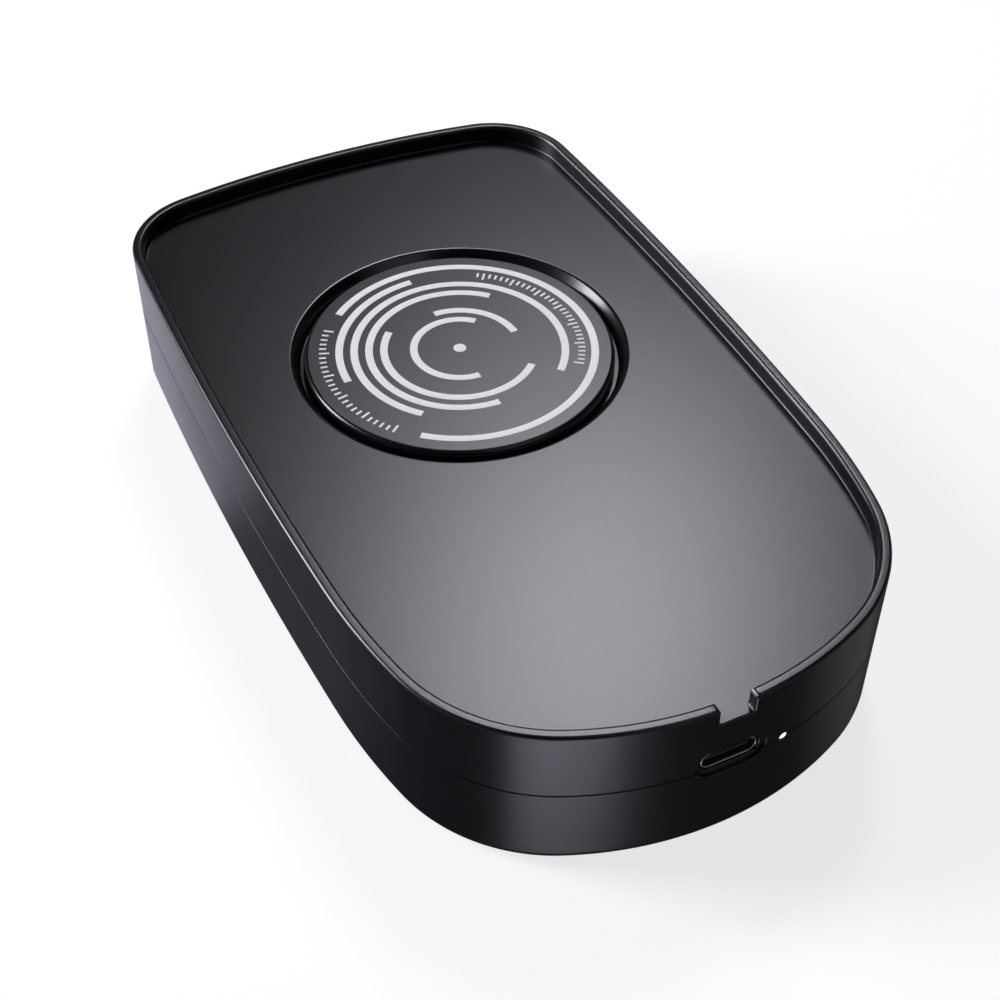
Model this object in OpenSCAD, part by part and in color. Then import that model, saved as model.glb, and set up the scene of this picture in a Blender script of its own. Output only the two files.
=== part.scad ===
// Mouse mover: a shallow tray for a computer mouse, with a slow turntable under its sensor.
// Millimetres. Origin: middle of the footprint, on the desk. +X is the width, +Z is up and
// the port end is at -Y.

/* [Body] */
// Width over the side walls
body_w = 85; // [80:0.5:95]
// Length over the end walls
body_l = 145; // [138:0.5:165]
// Height of the tray deck above the desk
deck_h = 25; // [24.5:0.1:28]
// Height of the rim above the deck
rim_h = 3.1; // [2:0.1:6]
// Thickness of the rim above the deck
rim_t = 1.8; // [1.4:0.1:2.1]
// Thickness of the side walls
wall_t = 2.2; // [2.2:0.1:2.8]
// Thickness of the tray deck
deck_t = 2; // [1.6:0.1:2.4]
// Thickness of the floor
floor_t = 2; // [1.6:0.1:2.6]
// Height of the parting line above the desk
seam_h = 15.7; // [15:0.1:16.5]
// Open gap that shows at the parting line
seam_gap = 0.24; // [0.1:0.02:0.4]
// Thickness of the outer skin that hides the tongue of the lower shell
seam_skin = 1.1; // [0.9:0.05:1.2]
// Height of that tongue above the parting line
tongue_h = 1.5; // [1:0.1:2.5]

/* [Plan outline] */
// Radius of the far end
far_end_r = 174; // [140:1:220]
// Radius of the far corners
far_corner_r = 15.4; // [13:0.2:20]
// Radius of the bowed sides
side_r = 830; // [700:10:1200]
// Distance of the widest point from the middle, towards the far end
side_mid_y = 14.3; // [8:0.1:18]
// Radius of the blend from a side into a near corner
blend_r = 105; // [90:1:130]
// Slope of the side where that blend starts, in degrees
blend_angle = 3.07; // [2:0.01:4]
// Radius of the near corners
near_corner_r = 28; // [26:0.5:32]
// Radius of the near end
near_end_r = 56; // [52:0.5:66]

/* [Edges] */
// Outer edge radius of the rim
rim_outer_r = 0.5; // [0.2:0.05:0.9]
// Inner edge radius of the rim
rim_inner_r = 0.5; // [0.1:0.05:0.7]
// Radius in the corner of the deck and the rim
deck_corner_r = 0.3; // [0.2:0.1:1]
// Bottom edge radius of the lower shell
bottom_r = 2; // [1:0.1:3]

/* [Mouse cable notch] */
// Width of the notch through the rim
notch_w = 5.4; // [4.5:0.1:8]
// Radius of its top edges
notch_edge_r = 0.7; // [0.3:0.1:1]

/* [Turntable] */
// Distance of the turntable from the middle, towards the far end
disc_y = 13.5; // [10:0.5:20]
// Diameter of the disc
disc_d = 51; // [46:0.5:51.5]
// Diameter of the round well's mouth
well_d = 55.8; // [55:0.2:57]
// Slope of the well's wall below its mouth, from level
well_slope = 50; // [40:1:70]
// Open space round the disc, below that slope
disc_gap = 0.9; // [0.6:0.1:1.2]
// Depth of the well below the deck
well_depth = 2.4; // [2.2:0.1:2.6]
// Thickness of the well's floor
well_floor_t = 1.5; // [1.2:0.1:1.8]
// Thickness of the well's wall
well_wall_t = 1.5; // [1.2:0.1:2]
// Edge radius of the well's mouth
well_edge_r = 0.8; // [0.2:0.1:1]
// Thickness of the disc
disc_t = 1.75; // [1.4:0.05:1.8]
// Edge radius of the disc
disc_edge_r = 0.55; // [0.2:0.05:0.8]
// Diameter of the hub under the disc
hub_d = 10; // [8:0.5:11]
// Open space round the hub
hub_gap = 1.6; // [0.5:0.1:2]
// Thickness of the printed film on the disc
film_t = 0.1; // [0.08:0.01:0.15]
// Thickness of the ink on the film
ink_t = 0.05; // [0.04:0.01:0.08]

/* [Ring pattern] */
// Radius of the outer ring's centre line
ring_r = 22.2; // [20:0.1:22.5]
// Distance from one ring to the next
ring_pitch = 2.44; // [2:0.02:2.6]
// Width of a ring
ring_w = 1.25; // [0.8:0.05:1.5]
// Diameter of the centre dot
dot_d = 2.1; // [1.5:0.1:3]
// Length of a scale tick
tick_l = 1.7; // [1:0.1:1.8]
// Width of a scale tick
tick_w = 0.35; // [0.25:0.05:0.5]
// Angle from one tick to the next
tick_step = 3; // [2.5:0.5:5]

/* [Port] */
// Height of the socket's centre above the desk
port_h = 17; // [16.8:0.1:17.4]
// Width of the slot in the wall
slot_w = 9.4; // [9.3:0.1:10]
// Height of the slot in the wall
slot_h = 3.4; // [3.3:0.1:3.6]
// Width of the shallow recess round the slot, beyond the slot
recess_margin = 1; // [0.6:0.1:1.4]
// Depth of that recess
recess_depth = 0.45; // [0.3:0.05:0.6]
// Distance of the socket's mouth behind the wall's outer face
mouth_inset = 0.8; // [0.6:0.1:2]
// Width of the metal socket
socket_w = 8.94; // [8.9:0.01:9]
// Height of the metal socket
socket_h = 3.16; // [3.1:0.01:3.2]
// Length of the metal socket
socket_l = 7.3; // [6.5:0.1:8]
// Distance of the status light from the middle
light_x = 8.8; // [8:0.1:11]
// Diameter of the status light
light_d = 1.3; // [1.2:0.1:1.4]

/* [Feet and screws] */
// Diameter of a rubber foot
foot_d = 10; // [8:0.5:11]
// Height that a foot stands proud of the floor
foot_proud = 0.6; // [0.4:0.1:1]
// Depth of the pocket that a foot is glued in
foot_pocket = 0.4; // [0.2:0.1:0.6]
// Diameter of a case screw's shank
screw_d = 2.6; // [2.5:0.1:3]
// Diameter of a case screw's head
screw_head_d = 4.8; // [4.4:0.1:5]
// Height of a case screw's head
screw_head_h = 1.6; // [1.4:0.1:2]
// Depth of the well that hides a case screw's head
screw_well = 6; // [5:0.1:7]
// Reach of a case screw into the upper shell
screw_bite = 6; // [5:0.5:7]

/* [Geared motor] */
// Diameter of the can
can_d = 24; // [24:0.5:25]
// Open space between the can and the floor of the housing
can_clear = 1.9; // [1:0.1:2.5]
// Thickness of the can's sheet
can_t = 0.6; // [0.4:0.1:0.7]
// Thickness of the cover plate
plate_t = 0.8; // [0.7:0.1:0.9]
// Distance between the fixing screws
ear_pitch = 31; // [30:0.5:33]
// Diameter of the output shaft
shaft_d = 5; // [4.8:0.1:5.2]
// Thickness of the output shaft over its flats
shaft_flat = 3; // [2.8:0.1:3.4]
// Height of the brass collar above the cover plate
collar_h = 1.4; // [1:0.1:1.5]
// Module of the gears
gear_m = 0.3; // [0.28:0.005:0.3]
// Teeth of each small wheel
small_teeth = 10; // [10:1:10]
// Teeth of each large wheel
large_teeth = 30; // [28:1:30]
// Width of a gear's teeth
gear_w = 1.2; // [1:0.1:1.2]

/* [Circuit board] */
// Width of the board
board_w = 36; // [32:1:38]
// Length of the board without its nose
board_l = 23; // [20:1:26]
// Thickness of the board
board_t = 1.6; // [1:0.1:1.6]

/* [Hidden] */
$fn = 48;
fillet_steps = 6;
cut = 1;          // how far a cutter reaches past a face
slip = 0.03;      // radial clearance of a turning fit
loose = 0.1;      // clearance between parts that are slid together
run_gap = 0.3;    // clearance between parts that pass each other

base_z = foot_proud;
floor_top = base_z + floor_t;
rim_top = deck_h + rim_h;
deck_under = deck_h - deck_t;
tongue_top = seam_h + tongue_h;
tongue_in = seam_skin + loose;      // distance of the tongue's face behind the outer wall

// Outline: each arc is [centre x, centre y, radius, start angle, end angle, steps]
// Where two circles cross: end is 1 for the crossing further up the Y axis, -1 for the other
function crossing(c1, r1, c2, r2, end) =
    let (d = c2 - c1, far = norm(d), a = (r1 * r1 - r2 * r2 + far * far) / (2 * far),
         h = sqrt(r1 * r1 - a * a), n = [-d[1], d[0]] / far)
    c1 + a * d / far + h * (n[1] * end > 0 ? n : -n);
function bearing(from, to) = atan2(to[1] - from[1], to[0] - from[0]);

far_c = [0, body_l / 2 - far_end_r];
near_c = [0, near_end_r - body_l / 2];
side_c = [body_w / 2 - side_r, side_mid_y];
blend_c = side_c + (side_r - blend_r) * [cos(blend_angle), -sin(blend_angle)];
far_corner_c = crossing(far_c, far_end_r - far_corner_r, side_c, side_r - far_corner_r, 1);
near_corner_c = crossing(near_c, near_end_r - near_corner_r, blend_c, blend_r - near_corner_r, -1);
near_a = bearing(near_c, near_corner_c);
blend_a = bearing(blend_c, near_corner_c);
side_a = bearing(side_c, far_corner_c);
far_a = bearing(far_c, far_corner_c);

// The side's arc is split at its widest point, so that the outline reaches the full width
near_arc = [near_c[0], near_c[1], near_end_r, -180 - near_a, near_a, 12];
far_arc = [far_c[0], far_c[1], far_end_r, far_a, 180 - far_a, 6];
flank_arcs = [
    [near_corner_c[0], near_corner_c[1], near_corner_r, near_a, blend_a, 10],
    [blend_c[0], blend_c[1], blend_r, blend_a, -blend_angle, 4],
    [side_c[0], side_c[1], side_r, -blend_angle, 0, 3],
    [side_c[0], side_c[1], side_r, 0, side_a, 3],
    [far_corner_c[0], far_corner_c[1], far_corner_r, side_a, far_a, 10]
];

function arc_points(cx, cy, r, a0, a1, steps) =
    [for (i = [0:steps]) let (a = a0 + (a1 - a0) * i / steps) [cx + r * cos(a), cy + r * sin(a)]];
// Each arc after the first leaves out its first point, which ends the arc before it
function inset_arc(arc, inset, first = 1) =
    [for (i = [first:arc[5]]) let (a = arc[3] + (arc[4] - arc[3]) * i / arc[5], r = arc[2] - inset)
        [arc[0] + r * cos(a), arc[1] + r * sin(a)]];
function mirrored(points) =
    [for (i = [len(points) - 1:-1:0]) [-points[i][0], points[i][1]]];
function flank_points(inset) = [for (arc = flank_arcs) each inset_arc(arc, inset)];
function without_last(points) = [for (i = [0:len(points) - 2]) points[i]];
function outline_points(inset) = concat(inset_arc(near_arc, inset, 0), flank_points(inset),
    inset_arc(far_arc, inset), mirrored(without_last(flank_points(inset))));
// Place of the near end's wall at a distance x from the middle, on the end's arc or on a corner's
function near_wall_y(x, inset) =
    x < (near_end_r - inset) * cos(near_a)
    ? near_c[1] - sqrt(pow(near_end_r - inset, 2) - x * x)
    : near_corner_c[1] - sqrt(pow(near_corner_r - inset, 2) - pow(x - near_corner_c[0], 2));

// Turntable and motor heights
well_r = well_d / 2;
well_floor = deck_h - well_depth;
well_under = well_floor - well_floor_t;
disc_r = disc_d / 2;
film_z = deck_h - ink_t - film_t;
disc_under = film_z - disc_t;
film_r = disc_r - disc_edge_r - loose;
hub_r = hub_d / 2;
shaft_r = shaft_d / 2;
collar_gap = 0.5;                   // open height between the collar and the hub or the well
plate_top = well_under - collar_gap - collar_h - loose;
plate_z = plate_top - plate_t;
can_z = floor_top + can_clear;
hub_z = plate_top + collar_h + collar_gap;
shaft_top = disc_under + 0.9;       // the hub's bore ends inside the disc
flat_z = hub_z - 0.4;
small_pitch_r = gear_m * small_teeth / 2;
large_pitch_r = gear_m * large_teeth / 2;
centres = small_pitch_r + large_pitch_r;
can_y = disc_y - centres;           // the output shaft stands off the can's axis
rotor_at = [0, can_y];
output_at = [0, disc_y];
gear_one_at = rotor_at + centres * [cos(-30), sin(-30)];
gear_two_at = rotor_at + centres * [cos(30), sin(30)];
layer_step = gear_w + run_gap;
layer_c = plate_z - run_gap - gear_w;
layer_b = layer_c - layer_step;
layer_a = layer_b - layer_step;
divider_t = 0.8;
divider_z = layer_a - run_gap - divider_t;
pivot_r = 0.9;
pin_r = 0.5;
rotor_shaft_r = 0.6;
magnet_r = 4.6;
collar_r = 4;
bush_r = 3.2;
ear_r = 3;
motor_screw_r = 0.83;
motor_boss_r = 2.6;
small_head_r = 1.9;                 // heads of the motor's and the board's screws
small_head_h = 1.4;
motor_ears = [for (side = [-1, 1]) [side * ear_pitch / 2, can_y]];

// Port, board and fixings
board_top = port_h - socket_h / 2;
board_z = board_top - board_t;
board_front = near_wall_y(board_w / 2, wall_t) + 1;
board_back = board_front + board_l;
nose_w = 15;
mouth_y = -body_l / 2 + mouth_inset;
nose_front = -body_l / 2 + wall_t + 1;
light_r = light_d / 2;
board_screw_r = 0.98;
board_post_r = 2.6;
board_screw_bite = 3;
board_posts = [for (x = [-1, 1], y = [board_front + 4.5, board_back - 3.5])
    [x * (board_w / 2 - 3.5), y]];
screw_r = screw_d / 2;
head_r = screw_head_d / 2;
boss_r = head_r + 1.3;
post_r = 3;
head_z = base_z + screw_well;       // the shoulder that a case screw pulls on
boss_top = head_z + 3;
case_screws = [for (side = [-1, 1], at = [[8, 0.29], [10, -0.25]])
    [side * (body_w / 2 - at[0]), at[1] * body_l]];
foot_r = foot_d / 2;
feet = [for (side = [-1, 1]) each [[side * (far_corner_c[0] + 3.5), far_corner_c[1] + 3],
    [side * (near_corner_c[0] + 10.5), near_corner_c[1] - 14]]];

// ---------------------------------------------------------------- shared shapes

// A solid inside the outline with plain vertical walls
module outline_prism(inset, z0, z1) {
    translate([0, 0, z0]) linear_extrude(z1 - z0) polygon(outline_points(inset));
}

// The same with its lower edge rounded
module round_bottom(inset, r, z0, z1) {
    hull() for (i = [0:fillet_steps])
        outline_prism(inset + r - r * sin(i * 90 / fillet_steps),
            z0 + r - r * cos(i * 90 / fillet_steps), z1);
}

// The same with its upper edge rounded
module round_top(inset, r, z0, z1) {
    hull() for (i = [0:fillet_steps])
        outline_prism(inset + r - r * cos(i * 90 / fillet_steps),
            z0, z1 - r + r * sin(i * 90 / fillet_steps));
}

// A flat-sided slot with round ends along Y
module slot_prism(w, h, y0, y1) {
    r = h / 2;
    for (x = [-1, 1])
        translate([x * (w / 2 - r), y0, 0]) rotate([-90, 0, 0]) cylinder(r = r, h = y1 - y0);
    translate([r - w / 2, y0, -r]) cube([w - h, y1 - y0, h]);
}

// A tube or ring that stands on z0
module ring(r_in, r_out, z0, z1) {
    rotate_extrude() translate([r_in, z0]) square([r_out - r_in, z1 - z0]);
}

module at_point(p, z = 0) translate([p[0], p[1], z]) children();

module at_points(points, z = 0) for (p = points) at_point(p, z) children();

// A cross recess, to be cut into a screw's head
module cross_recess(w, t, z, h) {
    for (a = [0, 90]) rotate([0, 0, a]) translate([-w / 2, -t / 2, z]) cube([w, t, h]);
}

// The recess of a small screw, from z to the same depth in every head
module small_recess(z) cross_recess(2 * small_head_r - 1.6, 0.5, z, cut + 0.6 * small_head_h);

// ---------------------------------------------------------------- housing

module port_cutters() {
    translate([0, 0, port_h]) {
        slot_prism(slot_w, slot_h, -body_l / 2 - cut, -body_l / 2 + wall_t + cut);
        slot_prism(slot_w + 2 * recess_margin, slot_h + 2 * recess_margin,
            -body_l / 2 - cut, -body_l / 2 + recess_depth);
    }
    translate([light_x, near_wall_y(light_x, 0) - cut, seam_h])
        rotate([-90, 0, 0]) cylinder(r = light_r + slip, h = wall_t + 2 * cut);
}

module lower_shell() color([0.09, 0.09, 0.1]) difference() {
    union() {
        difference() {
            union() {
                round_bottom(0, bottom_r, base_z, seam_h - seam_gap / 2);
                outline_prism(tongue_in, floor_top, tongue_top);
            }
            outline_prism(wall_t, floor_top, tongue_top + cut);
        }
        at_points(case_screws, floor_top - 0.5) cylinder(r = boss_r, h = boss_top - floor_top + 0.5);
        at_points(board_posts, floor_top - 0.5)
            cylinder(r = board_post_r, h = board_z - floor_top + 0.5);
    }
    port_cutters();
    at_points(case_screws, base_z - cut) {
        cylinder(r = head_r + run_gap, h = screw_well + cut);
        cylinder(r = screw_r + loose, h = boss_top - base_z + 2 * cut);
    }
    at_points(board_posts, board_z - board_screw_bite - 2)
        cylinder(r = board_screw_r + slip, h = board_screw_bite + 2 + cut);
    at_points(feet, base_z - cut) cylinder(r = foot_r + loose, h = foot_pocket + cut);
}

// The notch seen from the port end, with its top edges rounded off
module notch_cutter() {
    half = notch_w / 2;
    right = concat([[half, deck_h]],
        arc_points(half + notch_edge_r, rim_top - notch_edge_r, notch_edge_r, 180, 90, fillet_steps),
        [[half + notch_edge_r, rim_top + cut]]);
    translate([0, rim_t + deck_corner_r + 1 - body_l / 2, 0])
        rotate([90, 0, 0])
            linear_extrude(rim_t + deck_corner_r + 1 + cut)
                polygon(concat(right, mirrored(right)));
}

module well_cutter() {
    bore_r = disc_r + disc_gap;
    mouth = arc_points(well_r, deck_h - well_edge_r, well_edge_r, 90 + well_slope, 90, 4);
    foot_z = mouth[0][1] - (mouth[0][0] - bore_r) * tan(well_slope);
    translate([0, disc_y, 0]) {
        rotate_extrude($fn = 96)
            polygon(concat([[0, well_floor], [bore_r, well_floor], [bore_r, foot_z]], mouth,
                [[well_r, deck_h + cut], [0, deck_h + cut]]));
        translate([0, 0, well_under - cut])
            cylinder(r = hub_r + hub_gap, h = well_floor_t + 2 * cut);
    }
}

// The tray's hollow, with a chamfer on the inner edge of the rim
module tray_cutter() {
    round_bottom(rim_t, deck_corner_r, deck_h, rim_top + cut);
    hull() {
        outline_prism(rim_t, rim_top - rim_inner_r, rim_top);
        outline_prism(rim_t - rim_inner_r, rim_top, rim_top + cut);
    }
}

module upper_shell() color([0.11, 0.11, 0.12]) difference() {
    union() {
        difference() {
            round_top(0, rim_outer_r, seam_h + seam_gap / 2, rim_top);
            tray_cutter();
            outline_prism(wall_t, seam_h, deck_under);
            outline_prism(seam_skin, seam_h - cut, tongue_top);
        }
        translate([0, disc_y, well_under])
            cylinder(r = well_r + well_wall_t, h = deck_h - 1 - well_under, $fn = 96);
        at_points(case_screws, boss_top) cylinder(r = post_r, h = deck_under + 0.5 - boss_top);
        at_points(motor_ears, plate_top)
            cylinder(r = motor_boss_r, h = well_under + 0.5 - plate_top);
    }
    notch_cutter();
    well_cutter();
    port_cutters();
    at_points(case_screws, boss_top - cut) cylinder(r = screw_r + slip, h = screw_bite + 1 + cut);
    at_points(motor_ears, plate_top - cut)
        cylinder(r = motor_screw_r + slip, h = well_under + 1 - plate_top + cut);
}

module foot_pads() color([0.05, 0.05, 0.05]) {
    top = base_z + foot_pocket;
    at_points(feet) rotate_extrude()
        polygon(concat([[0, 0]], arc_points(foot_r - 0.3, 0.3, 0.3, -90, 0, 3),
            [[foot_r, top], [0, top]]));
}

module case_screws() color([0.3, 0.3, 0.32]) {
    at_points(case_screws) difference() {
        union() {
            translate([0, 0, head_z - screw_head_h]) cylinder(r = head_r, h = screw_head_h);
            translate([0, 0, head_z - 0.2])
                cylinder(r = screw_r, h = boss_top + screw_bite - head_z + 0.2);
        }
        cross_recess(2.6, 0.6, head_z - screw_head_h - cut, cut + 0.9);
    }
}

// ---------------------------------------------------------------- turntable

// The bore that takes the output shaft's flats
module flat_bore(z0, z1) {
    intersection() {
        translate([0, 0, z0]) cylinder(r = shaft_r + slip, h = z1 - z0);
        translate([-shaft_d, -shaft_flat / 2 - slip, z0 - cut])
            cube([2 * shaft_d, shaft_flat + 2 * slip, z1 - z0 + 2 * cut]);
    }
}

module turntable_disc() color([0.2, 0.2, 0.21]) at_point(output_at) difference() {
    union() {
        rotate_extrude($fn = 96)
            polygon(concat([[0, disc_under]],
                arc_points(disc_r - disc_edge_r, disc_under + disc_edge_r, disc_edge_r, -90, 0, 4),
                arc_points(disc_r - disc_edge_r, film_z - disc_edge_r, disc_edge_r, 0, 90, 4),
                [[0, film_z]]));
        translate([0, 0, hub_z]) cylinder(r = hub_r, h = disc_under + 0.5 - hub_z);
    }
    flat_bore(hub_z - cut, shaft_top + loose);
}

module disc_film() color([0.27, 0.27, 0.29]) at_point(output_at, film_z)
    cylinder(r = film_r, h = film_t, $fn = 96);

// Each broken ring: [ring number from the outside, start angle, end angle]
ring_spans = [[0, -131, 131], [1, 90, 180], [2, -45, 225], [3, 45, 270], [4, 135, 315],
    [5, 0, 90], [6, 45, 270]];

module ring_print() color([0.9, 0.9, 0.92]) at_point(output_at, film_z + film_t) {
    for (span = ring_spans)
        rotate([0, 0, span[1]])
            rotate_extrude(angle = span[2] - span[1], $fn = 180)
                translate([ring_r - span[0] * ring_pitch - ring_w / 2, 0]) square([ring_w, ink_t]);
    cylinder(d = dot_d, h = ink_t);
}

// Each run of ticks: [ring number, start angle, end angle]. Every fifth tick is long.
tick_runs = [[0, 143, 218], [1, -37, 56]];

module scale_ticks() color([0.85, 0.85, 0.87]) at_point(output_at, film_z + film_t) {
    for (run = tick_runs) {
        r0 = ring_r - run[0] * ring_pitch - tick_l / 2;
        for (i = [0:floor((run[2] - run[1]) / tick_step)])
            rotate([0, 0, run[1] + i * tick_step])
                translate([i % 5 == 0 ? r0 : r0 + tick_l / 3, -tick_w / 2, 0])
                    cube([i % 5 == 0 ? tick_l : tick_l / 3 * 2, tick_w, ink_t]);
    }
}

// ---------------------------------------------------------------- gears

gear_pressure = 20;
backlash = 0.2 * gear_m;            // taken off each tooth's thickness
small_add = 0.9 * gear_m;           // height of a tooth above the pitch circle
large_add = 0.8 * gear_m;
gear_root = 1.15 * gear_m;          // depth of a tooth below the pitch circle

function involute(a) = tan(a) * 180 / PI - a;
// Half the angle that a tooth fills at radius r
function tooth_half(r, pitch_r, teeth) =
    let (base_r = pitch_r * cos(gear_pressure),
         at_pitch = 90 / teeth - backlash / 2 / pitch_r * 180 / PI)
    at_pitch + involute(gear_pressure) - (r <= base_r ? 0 : involute(acos(base_r / r)));

// A spur gear's outline with one tooth centred on the angle phase
function gear_points(teeth, add, phase) =
    let (pitch_r = gear_m * teeth / 2, base_r = pitch_r * cos(gear_pressure),
         root_r = pitch_r - gear_root, radii = [root_r, max(base_r, root_r + 0.01), pitch_r,
         pitch_r + add])
    [for (tooth = [0:teeth - 1], side = [-1, 1], i = [0:3])
        let (r = radii[side < 0 ? i : 3 - i],
             a = phase + tooth * 360 / teeth + side * tooth_half(r, pitch_r, teeth))
        [r * cos(a), r * sin(a)]];

module gear(teeth, add, phase, z, h, bore_r) {
    translate([0, 0, z]) difference() {
        linear_extrude(h) polygon(gear_points(teeth, add, phase));
        translate([0, 0, -cut]) cylinder(r = bore_r, h = h + 2 * cut);
    }
}

// A small wheel has a tooth on the line to its partner, which has a space there
module small_wheel(from, to, z, h, bore_r)
    gear(small_teeth, small_add, bearing(from, to), z, h, bore_r);
module large_wheel(from, to, z, h, bore_r)
    gear(large_teeth, large_add, bearing(from, to) + 180 / large_teeth, z, h, bore_r);

// Large wheel below, small wheel above it, and a plain sleeve up or down to each plate
module double_wheel(at, driver, driven, z) {
    bore = pin_r + slip;
    top = plate_z - run_gap;
    at_point(at) {
        large_wheel(at, driver, z, gear_w, bore);
        small_wheel(at, driven, z + gear_w, layer_step, bore);
        if (z > layer_a) ring(bore, pivot_r, layer_a, z);
        if (z + gear_w + layer_step < top) ring(bore, pivot_r, z + gear_w + layer_step, top);
    }
}

module gear_one() color([0.92, 0.9, 0.84])
    double_wheel(gear_one_at, rotor_at, gear_two_at, layer_a);
module gear_two() color([0.92, 0.9, 0.84])
    double_wheel(gear_two_at, gear_one_at, output_at, layer_b);

module output_gear() color([0.92, 0.9, 0.84]) at_point(output_at)
    large_wheel(output_at, gear_two_at, layer_c, gear_w, seat_r);

module rotor_pinion() color([0.8, 0.65, 0.3]) at_point(rotor_at)
    small_wheel(rotor_at, gear_one_at, layer_a, gear_w, rotor_shaft_r);

// ---------------------------------------------------------------- geared motor

seat_r = 2;                         // where the output gear is pressed on the shaft

module output_shaft() color([0.8, 0.65, 0.3]) at_point(output_at) difference() {
    rotate_extrude() polygon([[0, divider_z], [pivot_r, divider_z], [pivot_r, layer_c],
        [seat_r, layer_c], [seat_r, layer_c + gear_w], [shaft_r, layer_c + gear_w],
        [shaft_r, shaft_top], [0, shaft_top]]);
    for (side = [0, 180]) rotate([0, 0, side])
        translate([-shaft_d, shaft_flat / 2, flat_z]) cube([2 * shaft_d, shaft_d, shaft_top]);
}

module output_bush() color([0.75, 0.6, 0.3]) at_point(output_at) {
    ring(shaft_r + slip, bush_r, plate_z, plate_top + 0.2);
    ring(shaft_r + slip, collar_r, plate_top, plate_top + collar_h);
}

module rotor_shaft() color("silver") at_point(rotor_at, can_z + 0.3)
    cylinder(r = rotor_shaft_r, h = layer_a + gear_w - can_z - 0.3);

magnet_z = can_z + can_t + 1;
magnet_top = divider_z - 0.6;
module rotor_magnet() color([0.2, 0.2, 0.22]) at_point(rotor_at)
    ring(rotor_shaft_r, magnet_r, magnet_z, magnet_top);

module rotor_bush() color([0.7, 0.5, 0.3]) at_point(rotor_at)
    ring(rotor_shaft_r + slip, 1.6, can_z, can_z + can_t + 0.7);

module gear_pins() color("silver") {
    at_points([gear_one_at, gear_two_at], divider_z) cylinder(r = pin_r, h = plate_top - divider_z);
}

can_r = can_d / 2;
bore_in_can = can_r - can_t;

module motor_can() color([0.75, 0.76, 0.78]) at_point(rotor_at) {
    ring(bore_in_can, can_r, can_z, plate_z);
    ring(1.6, can_r, can_z, can_z + can_t);
}

module motor_cover_plate() color([0.75, 0.76, 0.78]) difference() {
    union() {
        at_point(rotor_at, plate_z) cylinder(r = can_r, h = plate_t);
        at_points(motor_ears, plate_z) cylinder(r = ear_r, h = plate_t);
        translate([-ear_pitch / 2, can_y - ear_r, plate_z]) cube([ear_pitch, 2 * ear_r, plate_t]);
    }
    at_points(motor_ears, plate_z - cut)
        cylinder(r = motor_screw_r + loose, h = plate_t + 2 * cut);
    at_point(output_at, plate_z - cut) cylinder(r = bush_r, h = plate_t + 2 * cut);
    at_points([gear_one_at, gear_two_at], plate_z - cut) cylinder(r = pin_r, h = plate_t + 2 * cut);
}

module motor_screws() color("silver") {
    at_points(motor_ears) difference() {
        union() {
            translate([0, 0, plate_z - small_head_h]) cylinder(r = small_head_r, h = small_head_h);
            translate([0, 0, plate_z - 0.2])
                cylinder(r = motor_screw_r, h = well_under + 0.7 - plate_z + 0.2);
        }
        small_recess(plate_z - small_head_h - cut);
    }
}

module gear_divider() color([0.8, 0.8, 0.82]) difference() {
    at_point(rotor_at, divider_z) cylinder(r = bore_in_can, h = divider_t);
    at_point(rotor_at, divider_z - cut) cylinder(r = rotor_shaft_r + slip, h = divider_t + 2 * cut);
    at_point(output_at, divider_z - cut) cylinder(r = pivot_r + slip, h = divider_t + 2 * cut);
    at_points([gear_one_at, gear_two_at], divider_z - cut) cylinder(r = pin_r, h = divider_t + 2 * cut);
}

// Two toothed cups whose claws alternate round the magnet
claws = 6;
claw_r = magnet_r + 0.4;
claw_t = 0.6;
stator_z = can_z + can_t;
stator_top = divider_z;
module stator_claws() color([0.6, 0.61, 0.63]) at_point(rotor_at) {
    claw_h = stator_top - stator_z - 1.6;
    ring(claw_r, bore_in_can, stator_z, stator_z + claw_t);
    ring(claw_r, bore_in_can, stator_top - claw_t, stator_top);
    for (i = [0:claws - 1], flip = [0, 1])
        rotate([0, 0, (i + flip / 2) * 360 / claws])
            rotate_extrude(angle = 180 / claws - 8)
                translate([claw_r, flip == 0 ? stator_z : stator_top - claw_h])
                    square([claw_t, claw_h]);
}

bobbin_r = claw_r + claw_t + 0.2;
flange_t = 0.6;
bobbin_z = stator_z + claw_t;
bobbin_top = stator_top - claw_t;
module coil_bobbin() color([0.85, 0.82, 0.75]) at_point(rotor_at) {
    ring(bobbin_r, bobbin_r + 0.6, bobbin_z, bobbin_top);
    for (z = [bobbin_z, (bobbin_z + bobbin_top - flange_t) / 2, bobbin_top - flange_t])
        ring(bobbin_r, bore_in_can - 0.4, z, z + flange_t);
}

module coil_winding() color([0.72, 0.4, 0.2]) at_point(rotor_at) {
    half = (bobbin_top - bobbin_z - 3 * flange_t) / 2;
    for (z = [bobbin_z + flange_t, bobbin_z + 2 * flange_t + half])
        ring(bobbin_r + 0.6, bore_in_can - 0.9, z, z + half);
}

// ---------------------------------------------------------------- leads

leads = 5;
lead_pitch = 1;
lead_d = 0.9;
cover_w = 12;
cover_l = 3.4;
cover_h = 6.6;
cover_face = can_y - can_r - cover_l + 0.5;     // the leads leave this face
cover_lead_z = plate_z + 0.52;
header_w = 12.4;
header_l = 6;
header_wall = 1.2;
header_h = deck_under - board_top - 1.38;       // leaves that much room under the deck
header_back = board_back - 1;                   // the plug enters the header from this side
lead_z = board_top + header_h / 2 + 0.3;
plug_w = header_w - 2 * header_wall;
plug_h = header_h - 2.2;
plug_in = 4;                                    // length of the plug inside the header
plug_out = 4;                                   // and behind it

module terminal_cover() color([0.2, 0.35, 0.6]) difference() {
    translate([-cover_w / 2, cover_face, cover_lead_z + 1.6 - cover_h])
        cube([cover_w, cover_l + 1.5, cover_h]);
    at_point(rotor_at) cylinder(r = can_r, h = 2 * deck_h);
}

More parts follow.
